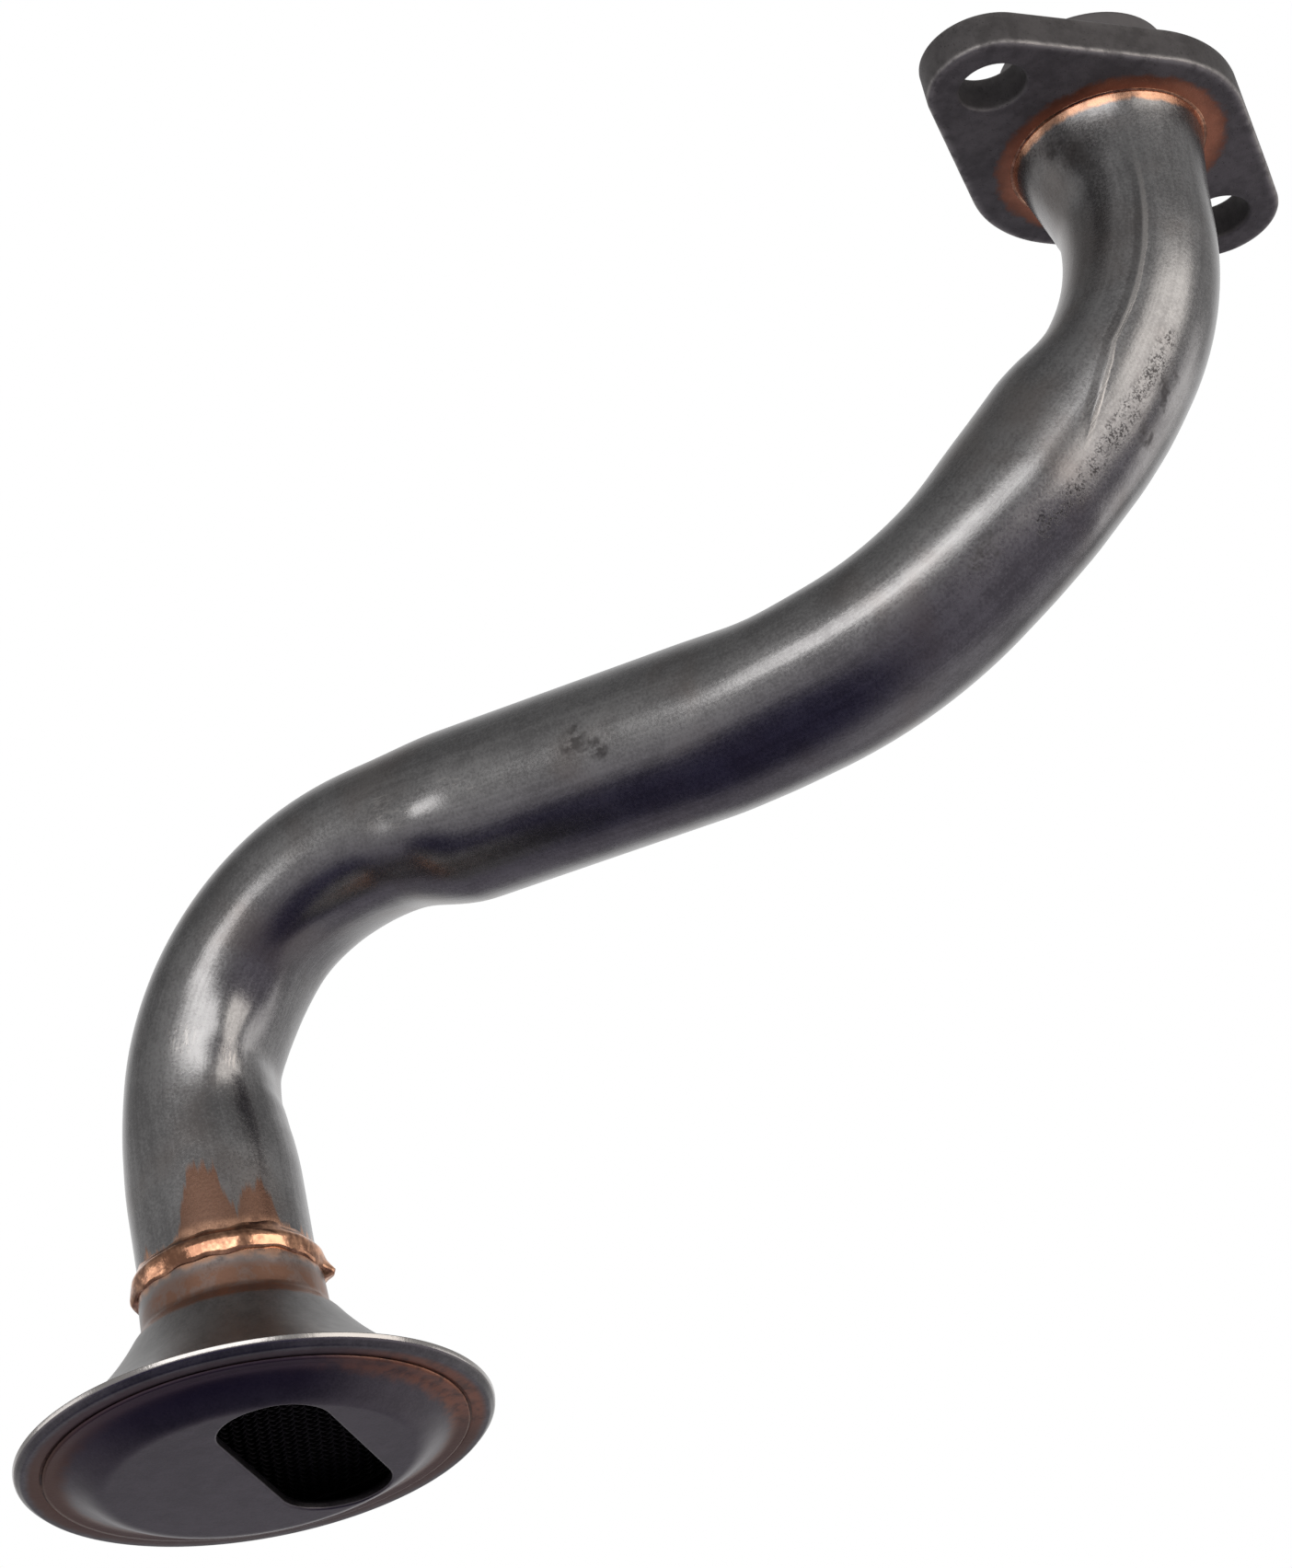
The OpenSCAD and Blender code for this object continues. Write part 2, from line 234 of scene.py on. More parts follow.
class StudioSettings(PropertyGroup):
    """Camera and light."""
    eye: place("Eye", (-346.4675, -182.1129, -293.5282), "Where the camera stands")
    aim: place("Aim", (-2.3729, 78.9069, -41.6006), "What the camera looks at")
    roll: rotation("Roll", -13.061, "Turn of the camera about its view")
    lens: FloatProperty(name="Lens", description="Focal length", default=123.077, min=1.0,
                        subtype="DISTANCE_CAMERA")
    floor: length("Floor", -450, "Height of the floor")
    dim: light_level("Dim side", 0.24, "Brightness of the unlit studio")
    key: light_level("Key light", 2.7, "Brightness of the large soft light")
    side: light_level("Side light", 1.9, "Brightness of the warm side light")
    rim: light_level("Rim light", 1.0, "Brightness of the light behind")
    left: light_level("Left light", 1.5, "Brightness of the light at the left")


class PickupSettings(PropertyGroup):
    """All settings of the oil pickup tube."""
    tube: PointerProperty(type=TubeSizes)
    flange: PointerProperty(type=FlangeSizes)
    bell: PointerProperty(type=BellSizes)
    cover: PointerProperty(type=CoverSizes)
    screen: PointerProperty(type=ScreenSizes)
    colours: PointerProperty(type=FinishColours)
    studio: PointerProperty(type=StudioSettings)


class Value:
    """One output of a node. Operators on it add Math nodes to the same tree."""

    def __init__(self, tree, socket):
        self.tree = tree
        self.socket = socket

    def __add__(self, other):
        return self.tree.math("ADD", self, other)

    def __radd__(self, other):
        return self.tree.math("ADD", other, self)

    def __sub__(self, other):
        return self.tree.math("SUBTRACT", self, other)

    def __rsub__(self, other):
        return self.tree.math("SUBTRACT", other, self)

    def __mul__(self, other):
        return self.tree.math("MULTIPLY", self, other)

    def __rmul__(self, other):
        return self.tree.math("MULTIPLY", other, self)

    def __truediv__(self, other):
        return self.tree.math("DIVIDE", self, other)

    def __rtruediv__(self, other):
        return self.tree.math("DIVIDE", other, self)

    def __abs__(self):
        return self.tree.math("ABSOLUTE", self)


class NodeTree:
    """Adds nodes to a material's or world's tree from Python expressions."""

    def __init__(self, node_tree):
        self.nodes = node_tree.nodes
        self.links = node_tree.links
        self.nodes.clear()

    def node(self, kind, settings=None, sockets=None, output=0):
        """Adds a node, sets its settings, then the values or links of its sockets."""
        node = self.nodes.new(kind)
        for key, setting in (settings or {}).items():
            setattr(node, key, setting)
        for key, value in (sockets or {}).items():
            if isinstance(value, Value):
                self.links.new(value.socket, node.inputs[key])
            else:
                node.inputs[key].default_value = value
        return Value(self, node.outputs[output]) if node.outputs else None

    def math(self, operation, *terms):
        """A Math node of one, two or three terms."""
        return self.node("ShaderNodeMath", {"operation": operation}, dict(enumerate(terms)))

    def vector(self, operation, first, second, output=0):
        """A Vector Math node; its output 1 is a number, such as a distance."""
        return self.node("ShaderNodeVectorMath", {"operation": operation},
                         {0: first, 1: second}, output)

    def mix(self, share, first, second):
        """A colour between two others."""
        ends = [end if isinstance(end, Value) else (*end, 1.0) for end in (first, second)]
        return self.node("ShaderNodeMix", {"data_type": "RGBA"},
                         {0: share, 6: ends[0], 7: ends[1]}, 2)

    def step(self, value, start, end):
        """Rises smoothly from 0 at start to 1 at end."""
        return self.node("ShaderNodeMapRange", {"interpolation_type": "SMOOTHSTEP"},
                         {"Value": value, "From Min": start, "From Max": end})

    def noise(self, spot, size, detail=2.0, roughness=0.5):
        """Cloudy noise with features of about this size."""
        return self.node("ShaderNodeTexNoise", None,
                         {"Vector": spot, "Scale": 1.0 / size, "Detail": detail,
                          "Roughness": roughness})

    def axis(self, spot, index):
        """One part of a vector."""
        return self.node("ShaderNodeSeparateXYZ", None, {0: spot}, index)


class Finish(NodeTree):
    """A metal finish on object coordinates."""

    def __init__(self, name):
        self.material = bpy.data.materials.new(name)
        self.material.use_nodes = True
        super().__init__(self.material.node_tree)
        self.spot = self.node("ShaderNodeTexCoord", None, None, "Object")

    def tones(self, cloud, mottle, grain):
        """Large, middling and fine noise, with features of these sizes in millimetres."""
        return [self.noise(self.spot, size * MM, detail, 0.6)
                for size, detail in ((cloud, 4.0), (mottle, 3.0), (grain, 2.0))]

    def spots(self, places, ragged, grain):
        """Soft spots at several places, with edges that noise makes ragged, as one mask."""
        core = 0.35
        mask = None
        for middle, size in places:
            gap = self.vector("DISTANCE", self.spot, [value * MM for value in middle], 1)
            gap = gap + (grain - 0.5) * ragged
            one = self.step(gap, size * MM, size * MM * core)
            mask = one if mask is None else self.math("MAXIMUM", mask, one)
        return mask

    def around(self, axis_point):
        """Radius, direction and height about an upright axis."""
        local = self.vector("SUBTRACT", self.spot, axis_point)
        x = self.axis(local, 0)
        y = self.axis(local, 1)
        radius = self.math("SQRT", x * x + y * y)
        return radius, self.math("ARCTAN2", y, x), self.axis(local, 2)

    def facing(self, direction, degrees, start, end):
        """A mask of the side that lies at this many degrees about the axis."""
        return self.step(self.math("COSINE", direction - radians(degrees)), start, end)

    def surface(self, base, roughness, height, metallic=1.0, depth=0.05 * MM):
        """Ends the tree in one metal shader."""
        bump = self.node("ShaderNodeBump", None,
                         {"Height": height, "Distance": depth, "Strength": 1.0})
        shader = self.node("ShaderNodeBsdfPrincipled", None,
                           {"Base Color": base, "Roughness": roughness, "Metallic": metallic,
                            "Normal": bump})
        self.node("ShaderNodeOutputMaterial", None, {"Surface": shader})
        return self.material


def settings():
    """The sizes and colours in use."""
    return bpy.context.scene.oil_pickup


def smooth(value):
    """Smooth step of a value between 0 and 1."""
    value = min(1.0, max(0.0, value))
    return value * value * (3.0 - 2.0 * value)


def mesh_of(name, rings):
    """A smooth mesh of rings that close on themselves, with its faces turned outwards."""
    mesh = bpy.data.meshes.new(name)
    mesh.from_pydata([tuple(point) for ring in rings for point in ring], [],
                     loft(rings, closed=True))
    form = bmesh.new()
    form.from_mesh(mesh)
    for face in form.faces:
        face.smooth = True
    bmesh.ops.recalc_face_normals(form, faces=form.faces)
    form.to_mesh(mesh)
    form.free()
    return mesh


def loft(rings, closed=False, first=0):
    """Faces that join rings of equal length, one to the next."""
    count = len(rings[0])
    faces = []
    last = len(rings) if closed else len(rings) - 1
    for i in range(last):
        lower = first + i * count
        upper = first + (i + 1) % len(rings) * count
        for j in range(count):
            k = (j + 1) % count
            faces.append((lower + j, lower + k, upper + k, upper + j))
    return faces


def circle(centre, radius, height, count):
    """Points of a level circle."""
    return [Vector((centre.x + radius * cos(2 * pi * i / count),
                    centre.y + radius * sin(2 * pi * i / count), height)) for i in range(count)]


def rounded(corners, steps=6):
    """A closed outline of (radius, height, rounding) corners, with its corners rounded."""
    outline = []
    count = len(corners)
    for i, (r, z, rounding) in enumerate(corners):
        corner = Vector((r, z))
        before = Vector(corners[i - 1][:2]) - corner
        after = Vector(corners[(i + 1) % count][:2]) - corner
        if rounding <= 0.0 or before.length == 0.0 or after.length == 0.0:
            outline.append(corner)
            continue
        half = before.angle(after) / 2
        setback = rounding / tan(half)
        room = 0.49 * min(before.length, after.length)
        if setback > room:
            setback = room
            rounding = setback * tan(half)
        before.normalize()
        after.normalize()
        centre = corner + (before + after).normalized() * rounding / sin(half)
        start = corner + before * setback - centre
        finish = corner + after * setback - centre
        turn_from = atan2(start.y, start.x)
        turn = atan2(finish.y, finish.x) - turn_from
        turn = (turn + pi) % (2 * pi) - pi
        for j in range(steps + 1):
            angle = turn_from + turn * j / steps
            outline.append(centre + rounding * Vector((cos(angle), sin(angle))))
    return outline


def densified(outline, step):
    """The closed outline with points added along its long edges."""
    dense = []
    for point, following in zip(outline, outline[1:] + outline[:1]):
        parts = max(1, int((following - point).length / step))
        dense.extend(point.lerp(following, i / parts) for i in range(parts))
    return dense


def turned(name, outline, centre, count=192, step=0.7 * MM):
    """A closed section turned about the upright axis through a point."""
    dense = densified(outline, step)
    rings = [circle(centre, point.x, centre.z + point.y, count) for point in dense]
    return mesh_of(name, rings)


def new_piece(name, mesh, material, slot, *nodes):
    """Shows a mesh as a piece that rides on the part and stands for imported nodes."""
    mesh.materials.clear()
    mesh.materials.append(material)
    piece = bpy.data.objects.new(name, mesh)
    bpy.context.scene.collection.objects.link(piece)
    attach(piece, "root")
    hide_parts(*nodes)


class Press:
    """A squeeze of the tube's section along a stretch of a bend."""

    def __init__(self, inside, depth, start, full, hold, end):
        self.inside = inside
        self.depth = depth
        self.stops = [stop * MM for stop in (start, full, hold, end)]

    def moved(self, point, bent, inward, across, radius):
        """A point of the section, moved towards the centre line."""
        start, full, hold, end = self.stops
        share = smooth((bent - start) / (full - start)) * smooth((end - bent) / (end - hold))
        reach = point.dot(inward)
        if self.inside != (reach > 0.0):
            return point
        return point - inward * reach * share * self.depth / radius


class Flat:
    """A flat that a tool pressed into the inside of a bend, with its depth along the bend."""
    soft = 1.1 * MM
    steepest = 60.0

    def __init__(self, depth, lean, line):
        self.lean = lean
        self.line = [(bent * MM, share * depth) for bent, share in line]

    def depth_at(self, bent):
        """Depth on a smooth curve through the line's points."""
        line = self.line
        if not line[0][0] < bent < line[-1][0]:
            return 0.0
        at = max(i for i, stop in enumerate(line) if stop[0] < bent)
        slopes = []
        for i in (at, at + 1):
            (first, low), (last, high) = line[max(0, i - 1)], line[min(len(line) - 1, i + 1)]
            slopes.append((high - low) / (last - first))
        (first, low), (last, high) = line[at:at + 2]
        gap = last - first
        part = (bent - first) / gap
        bow = part * (1 - part) * ((slopes[0] * gap - high + low) * (1 - part)
                                   - (slopes[1] * gap - high + low) * part)
        return max(0.0, low + (high - low) * part + bow)

    def moved(self, point, bent, inward, across, radius):
        """A point of the section, moved back to a plane with a soft edge."""
        depth = self.depth_at(bent)
        if depth <= 0.0:
            return point
        facing = cos(self.lean) * inward - sin(self.lean) * across
        over = (point.dot(facing) - radius + depth) / self.soft
        cut = self.soft * log(1.0 + exp(min(self.steepest, over)))
        return point - facing * cut * smooth(depth / self.soft)


class Bend:
    """One bend of the centre line, with the shape that the bender leaves in the tube."""

    def __init__(self, before, corner, after, radius, presses):
        self.heading = (corner - before).normalized()
        leaving = (after - corner).normalized()
        self.radius = radius
        self.presses = presses
        self.turn = acos(self.heading.dot(leaving))
        self.setback = radius * tan(self.turn / 2)
        self.inward = (leaving - leaving.dot(self.heading) * self.heading).normalized()
        self.start = corner - self.setback * self.heading
        self.centre = self.start + radius * self.inward
        self.from_run = 0.0

    def arm(self, angle):
        """From the bend's centre outwards, after this much of the turn."""
        return cos(angle) * -self.inward + sin(angle) * self.heading

    def tangent(self, angle):
        """The centre line's direction after this much of the turn."""
        return cos(angle) * self.heading + sin(angle) * self.inward

    def pressed(self, point, run, radius):
        """A point of the section, moved as this bend squeezes, flattens and draws in the tube."""
        bent = run - self.from_run
        inward = -self.arm(min(self.turn, max(0.0, bent / self.radius)))
        across = self.heading.cross(self.inward)
        for press in self.presses:
            point = press.moved(point, bent, inward, across, radius)
        return point


# Depth of the pressed flat along bend 3: place in millimetres, share of the depth
FLAT_LINE = ((-10, 0.0), (-4, 0.2), (2, 0.6), (8, 0.98), (13, 1.3), (18, 1.46), (22, 1.24),
             (25, 1.07), (27.7, 1.0), (30.5, 1.05), (32.5, 1.13), (33.5, 1.1), (35, 0.84),
             (37, 0.5), (39, 0.24), (41, 0.09), (44, 0.0))


# Distance between the tube's rings, along the bends and on the spigot with its groove
TUBE_STEP = 0.7 * MM
SPIGOT_STEP = TUBE_STEP / 5


def tube_route(sizes):
    """Ends, bends and straight stretches of the centre line, as (run, point, tangent) stations."""
    axis_end = Vector((BELL_FOOT.x, BELL_FOOT.y, TUBE_LOW.z))
    corners = [Vector((0, 0, sizes.spigot)), Vector(sizes.corner_1), Vector(sizes.corner_2),
               Vector((BELL_FOOT.x, BELL_FOOT.y, -sizes.corner_3_depth)), axis_end]
    # Along each bend, in millimetres: where a press starts, is full, starts to end, and ends
    shapes = [
        (sizes.bend_1, [Press(True, sizes.squeeze_1, -7, 3, 20, 31),
                        Press(False, sizes.draw_1, -6, 3, 20, 31)]),
        (sizes.bend_2, [Press(True, sizes.squeeze_2, -6, 6, 27, 39),
                        Press(False, sizes.draw_2, -6, 6, 27, 39)]),
        (sizes.bend_3, [Press(True, sizes.squeeze_3, -9, 1, 34, 49),
                        Press(False, sizes.draw_3, -9, 3, 38, 50),
                        Flat(sizes.flat_3, sizes.flat_lean, FLAT_LINE)]),
    ]
    bends = [Bend(*corners[i:i + 3], radius, presses)
             for i, (radius, presses) in enumerate(shapes)]
    stations = []
    run = -sizes.spigot
    here = corners[0]
    for bend in bends + [None]:
        goal = bend.start if bend else axis_end
        leg = (goal - here).length
        heading = (goal - here).normalized()
        step = SPIGOT_STEP if here is corners[0] else TUBE_STEP
        parts = max(2, int(leg / step))
        for i in range(parts):
            stations.append((run + leg * i / parts, here + heading * leg * i / parts, heading))
        run += leg
        if bend is None:
            stations.append((run, goal, heading))
            continue
        bend.from_run = run
        whole = bend.radius * bend.turn
        parts = int(whole / TUBE_STEP)
        for i in range(parts):
            angle = bend.turn * i / parts
            stations.append((run + whole * i / parts,
                             bend.centre + bend.radius * bend.arm(angle), bend.tangent(angle)))
        run += whole
        here = bend.centre + bend.radius * bend.arm(bend.turn)
    return stations, bends


def pressed(point, run, bends, radius):
    """A point of the round section, moved by all the bends."""
    for bend in bends:
        point = bend.pressed(point, run, radius)
    return point


# Dark smudges on the tube: place and size in millimetres
SMUDGES = (((-9.3, -1.2, -9.0), 2.3), ((-9.2, -2.2, -10.9), 2.4), ((-9.5, 0.7, -7.6), 1.6),
           ((-19.9, 16.2, -53.8), 1.9), ((-20.6, 17.6, -55.0), 1.3), ((-3.7, -2.0, -37.8), 1.0),
           ((-6.1, 2.7, -43.5), 1.8), ((-4.8, -0.6, -39.6), 1.6), ((-36.6, 61.0, -57.0), 2.3),
           ((-35.8, 59.0, -58.4), 2.0))

# Pale scuffs that the tools left: place and size in millimetres
SCUFFS = (((-42.7, 83.7, -54.3), 2.6), ((-41.7, 81.1, -56.0), 2.4), ((-49.6, 111.2, -69.8), 2.4),
          ((-45.7, 107.7, -72.1), 2.4), ((-40.7, 76.1, -54.3), 0.9), ((-40.2, 74.5, -55.2), 0.9),
          ((-39.6, 73.3, -56.6), 0.8), ((-39.2, 96.2, -62.2), 0.9), ((-48.4, 113.0, -75.0), 1.6))

# Row of pits along the first bend, in millimetres
PIT_ROW = ((-6.0, -3.2, -34.6), (-6.7, -2.0, -36.5), (-8.7, 1.0, -40.6), (-10.5, 4.5, -44.4),
           (-11.3, 6.6, -46.8), (-13.4, 9.6, -49.8), (-15.5, 12.6, -52.8))

# Small swellings and dents of the bent tube: place, height and width in millimetres
TUBE_SWELLINGS = (
    ((-13.2, 8.9, -30.7), 0.3, 4.5),
    ((-28.0, 36.4, -51.2), 0.25, 4.0),
    ((-40.6, 77.0, -57.0), -0.1, 3.0),
    ((-38.6, 107.6, -74.0), 0.35, 2.0),
    ((-46.0, 107.6, -70.4), 0.7, 2.2),
    ((-41.6, 81.4, -57.2), 0.75, 2.6),
)


class OILPICKUP_OT_tube(Operator):
    """Makes the bent tube with its pressed bends"""
    bl_idname = "oil_pickup.tube"
    bl_label = "Bent Tube"

    def execute(self, context):
        sizes = settings().tube
        stations, bends = tube_route(sizes)
        swellings = [(Vector(spot) * MM, height * MM, width * MM)
                     for spot, height, width in TUBE_SWELLINGS]
        side = Vector((1, 0, 0))
        heading = stations[0][2]
        last_run = stations[-1][0]
        frames = []
        for run, centre, tangent in stations:
            side = heading.rotation_difference(tangent) @ side
            heading = tangent
            frames.append((run, centre, tangent, side.copy()))
        outer = []
        for station in self.with_ends(frames, sizes):
            radius = self.radius_at(sizes, station[0], last_run)
            outer.append(self.section(station, radius, bends, swellings))
        bore = sizes.radius - sizes.wall
        inner = [self.section(station, bore, bends) for station in frames[::4] + frames[-1:]]
        rings, marks = zip(*outer, *inner[::-1])
        mesh = mesh_of("bent_tube", rings)
        drawn = mesh.attributes.new("drawn", "FLOAT_VECTOR", "POINT")
        drawn.data.foreach_set("vector", [part for ring in marks for mark in ring for part in mark])
        new_piece("bent_tube", mesh, tube_finish(), "tube_steel", "pickup_tube")
        return {"FINISHED"}

    @staticmethod
    def radius_at(sizes, run, last_run):
        """Outside radius along the tube, with its groove, its foot at the flange and its ends."""
        ramp = 0.15
        into = (-run - sizes.relief_rise) / sizes.relief_width
        relief = smooth(into / ramp + 0.5) * smooth((1.0 - into) / ramp + 0.5)
        radius = sizes.radius - sizes.relief_depth * relief
        below = run + FLANGE_LOW.z
        if below > 0.0:
            radius += sizes.meniscus * exp(-below / sizes.meniscus_fade)
        to_end = min(run + sizes.spigot, last_run - run)
        if to_end < sizes.end_round:
            short = 1.0 - to_end / sizes.end_round
            radius -= sizes.end_round * (1.0 - sqrt(max(0.0, 1.0 - short * short)))
        return radius

    @staticmethod
    def section(station, radius, bends, swellings=()):
        """One ring of the tube, and the place of each point on the tube before it was bent."""
        count = 96
        run, centre, tangent, side = station
        across = tangent.cross(side)
        ring, marks = [], []
        for i in range(count):
            angle = 2 * pi * i / count
            ray = cos(angle) * side + sin(angle) * across
            offset = pressed(ray * radius, run, bends, radius)
            spot = centre + offset
            for middle, height, width in swellings:
                gap = (spot - middle).length_squared
                if gap < 9 * width * width:
                    offset = offset + ray * height * exp(-gap / (2 * width * width))
            ring.append(centre + offset)
            marks.append((radius * cos(angle), radius * sin(angle), run))
        return ring, marks

    @staticmethod
    def with_ends(frames, sizes):
        """The stations, with close ones added where the cut ends are rounded."""
        ends = []
        for run, centre, tangent, side in (frames[0], frames[-1]):
            way = 1 if not ends else -1
            ends.append([(run + way * part * sizes.end_round,
                          centre + tangent * way * part * sizes.end_round, tangent, side)
                         for part in (0.0, 0.1, 0.3, 0.6, 1.0)])
        return ends[0] + frames[1:-1] + ends[1][::-1]


# Clearance of the flange's hole round the tube
TUBE_FIT = 0.05 * MM


def flange_outline(middle, end, half_spacing, inset):
    """The flange's outline, moved in by an inset."""
    lean = acos((middle - end) / half_spacing)
    arcs = [(half_spacing, end, -lean, lean), (0.0, middle, lean, pi - lean),
            (-half_spacing, end, pi - lean, pi + lean), (0.0, middle, pi + lean, 2 * pi - lean)]
    arc_steps, edge_steps = 40, 12

    def spot(x, radius, angle):
        """A point of an arc round a place on the bolt line."""
        return Vector((x + (radius - inset) * cos(angle), (radius - inset) * sin(angle)))

    outline = []
    for (x, radius, start, finish), following in zip(arcs, arcs[1:] + arcs[:1]):
        outline += [spot(x, radius, start + (finish - start) * i / arc_steps)
                    for i in range(arc_steps + 1)]
        last = outline[-1]
        outline += [last.lerp(spot(*following[:3]), i / edge_steps) for i in range(1, edge_steps)]
    return outline


class OILPICKUP_OT_flange(Operator):
    """Makes the two-bolt flange with rounded edges, marked for wear and a painted highlight"""
    bl_idname = "oil_pickup.flange"
    bl_label = "Mounting Flange"

    def execute(self, context):
        sizes = settings().flange
        half = sizes.bolt_spacing / 2
        tube_hole = settings().tube.radius + TUBE_FIT
        points, faces, wear_and_highlight_marks = [], [], []
        rims = {"low": [], "high": []}

        def wall(ring_at, edge, wear_and_highlight_share):
            """One upright wall with rounded edges, from its lower flat to its upper flat."""
            stops = [(edge + 0.5 * MM, 0.0, 0.0), (edge + 0.15 * MM, 0.0, 0.5)]
            stops += [(edge * (1 - sin(radians(a))), edge * (1 - cos(radians(a))), 1.0)
                      for a in (0, 22.5, 45, 67.5, 90)]
            stops += [(0.0, edge + 0.2 * MM, 0.5), (0.0, edge + 0.8 * MM, 0.0)]
            rings = []
            for inset, rise, wear_and_highlight in stops:
                rings.append((inset, FLANGE_LOW.z + rise, wear_and_highlight))
            for inset, rise, wear_and_highlight in stops[::-1]:
                rings.append((inset, FLANGE_HIGH.z - rise, wear_and_highlight))
            first = len(points)
            loops = [[Vector((p.x, p.y, z)) for p in ring_at(inset)] for inset, z, wear_and_highlight in rings]
            count = len(loops[0])
            for loop, (inset, z, wear_and_highlight) in zip(loops, rings):
                points.extend(loop)
                wear_and_highlight_marks.extend([wear_and_highlight * wear_and_highlight_share] * count)
            faces.extend(loft(loops, first=first))
            rims["low"].append(range(first, first + count))
            rims["high"].append(range(len(points) - count, len(points)))

        wall(lambda inset: flange_outline(sizes.middle, sizes.end, half, inset), sizes.edge, 1.0)
        for x, radius in ((0.0, tube_hole), (-half, sizes.bolt_hole), (half, sizes.bolt_hole)):
            centre = Vector((x, 0, 0))
            wall(lambda inset: circle(centre, radius + inset, 0.0, 96), sizes.hole_edge, 0.0)

        walls = len(faces)
        mesh = bpy.data.meshes.new("flange")
        mesh.from_pydata([tuple(point) for point in points], [], faces)
        form = bmesh.new()
        form.from_mesh(mesh)
        form.verts.ensure_lookup_table()
        for loops in rims.values():
            edges = []
            for loop in loops:
                corners = list(loop)
                for a, b in zip(corners, corners[1:] + corners[:1]):
                    edges.append(form.edges.get((form.verts[a], form.verts[b])))
            bmesh.ops.triangle_fill(form, edges=edges, use_beauty=True)
        form.faces.ensure_lookup_table()
        for index, face in enumerate(form.faces):
            face.smooth = index < walls
        bmesh.ops.recalc_face_normals(form, faces=form.faces)
        form.to_mesh(mesh)
        form.free()
        wear_and_highlight = mesh.attributes.new("wear_and_highlight", "FLOAT", "POINT")
        wear_and_highlight.data.foreach_set("value", wear_and_highlight_marks)
        new_piece("flange", mesh, flange_finish(), "flange_steel", "mounting_flange")
        return {"FINISHED"}


def hollow_arc(start, end, hollow, inset, steps=24):
    """An arc between two points of the section, hollow on its outside, moved in by an inset."""
    chord = end - start
    outwards = Vector((chord.y, -chord.x)).normalized()
    radius = chord.length_squared / (8 * hollow) + hollow / 2
    centre = (start + end) / 2 + outwards * (radius - hollow)
    first = atan2(start.y - centre.y, start.x - centre.x)
    last = atan2(end.y - centre.y, end.x - centre.x)
    sweep = (last - first + pi) % (2 * pi) - pi
    angles = [first + sweep * i / steps for i in range(steps + 1)]
    return [centre + (radius + inset) * Vector((cos(angle), sin(angle))) for angle in angles]


# Drops on the lip: direction and width in degrees, height and size in millimetres
LIP_DROPS = ((-47.0, 6.5, 18.4, 1.15), (134.0, 8.0, 18.7, 0.5), (40.0, 8.0, 19.0, 0.4))


def drops(mesh, sizes):
    """Swells the lip where copper stands out as drops."""
    tall = 0.9 * MM
    lowest = sizes.height - 4.5 * MM
    inmost = sizes.collar - 0.1 * MM
    for vertex in mesh.vertices:
        local = vertex.co - BELL_FOOT
        if local.z < lowest or local.xy.length < inmost:
            continue
        direction = atan2(local.y, local.x)
        swelling = 0.0
        for middle, width, level, out in LIP_DROPS:
            off = (direction - radians(middle) + pi) % (2 * pi) - pi
            near = (off / radians(width)) ** 2 + ((local.z - level * MM) / tall) ** 2
            swelling += out * MM * exp(-near)
        scale = 1.0 + swelling / local.xy.length
        vertex.co.x = BELL_FOOT.x + local.x * scale
        vertex.co.y = BELL_FOOT.y + local.y * scale


class OILPICKUP_OT_bell(Operator):
    """Makes the pressed strainer bell with its rolled lip"""
    bl_idname = "oil_pickup.bell"
    bl_label = "Strainer Bell"

    def execute(self, context):
        sizes = settings().bell
        collar_foot = sizes.height - sizes.collar_height
        lip_z = sizes.height - sizes.lip
        lip_r = sizes.bore + sizes.lip
        sheet = sizes.sheet
        foot = Vector((sizes.rim - sizes.ledge, sheet))
        shoulder = Vector((sizes.collar + sizes.shoulder_width, collar_foot - sizes.shoulder_drop))
        flare = hollow_arc(foot, shoulder, sizes.hollow, 0.0)
        inside = hollow_arc(foot, shoulder, sizes.hollow, sheet)
        inside = [point for point in inside if point.x < sizes.mouth]
        lip = []
        lip_steps = 24
        for i in range(lip_steps + 1):
            angle = radians(-95 + 275 * i / lip_steps)
            lip.append((lip_r + sizes.lip * cos(angle), lip_z + sizes.lip * sin(angle), 0.0))
        corners = [
            (sizes.mouth, 0.0, 0.6 * MM),
            (sizes.rim - 0.75 * MM, 0.0, 0.5 * MM),
            (sizes.rim - sizes.draft, sheet * 0.55, 0.3 * MM),
            (sizes.rim, sheet, 0.1 * MM),
            *[(point.x, point.y, 0.0) for point in flare[:-2]],
            (shoulder.x, shoulder.y, 1.4 * MM),
            (sizes.collar, collar_foot, 1.4 * MM),
            *lip,
            (sizes.bore, collar_foot - 1.05 * MM, 0.4 * MM),
            *[(point.x, point.y, 0.0) for point in inside[::-1]],
            (sizes.mouth, COVER_HIGH.z - BELL_FOOT.z, 0.0),
        ]
        mesh = turned("bell", rounded(corners), BELL_FOOT, count=224)
        drops(mesh, sizes)
        new_piece("bell", mesh, bell_finish(), "bell_steel", "strainer_bell")
        return {"FINISHED"}


# Copper in the rim's groove: distance from the mouth and height over the rim, in millimetres
RIM_SECTION = ((-0.05, 0.02), (0.25, 0.05), (0.55, 0.02), (0.3, 0.17), (-0.05, 0.17))

# Copper round the neck: distance from the tube and height over the lip in millimetres, and
# the share of its unevenness that stands out sideways
NECK_SECTION = ((-0.35, 1.7, 0.0), (-0.08, 1.05, 0.0), (0.1, 0.65, 0.3), (0.35, 0.3, 0.6),
                (0.62, 0.02, 1.0), (0.8, -0.28, 1.0), (0.86, -0.6, 1.0), (0.83, -0.95, 1.0),
                (0.74, -1.4, 0.9), (0.64, -1.85, 0.7), (0.53, -2.3, 0.3), (0.3, -2.4, 0.0),
                (-0.02, -2.4, 0.0))


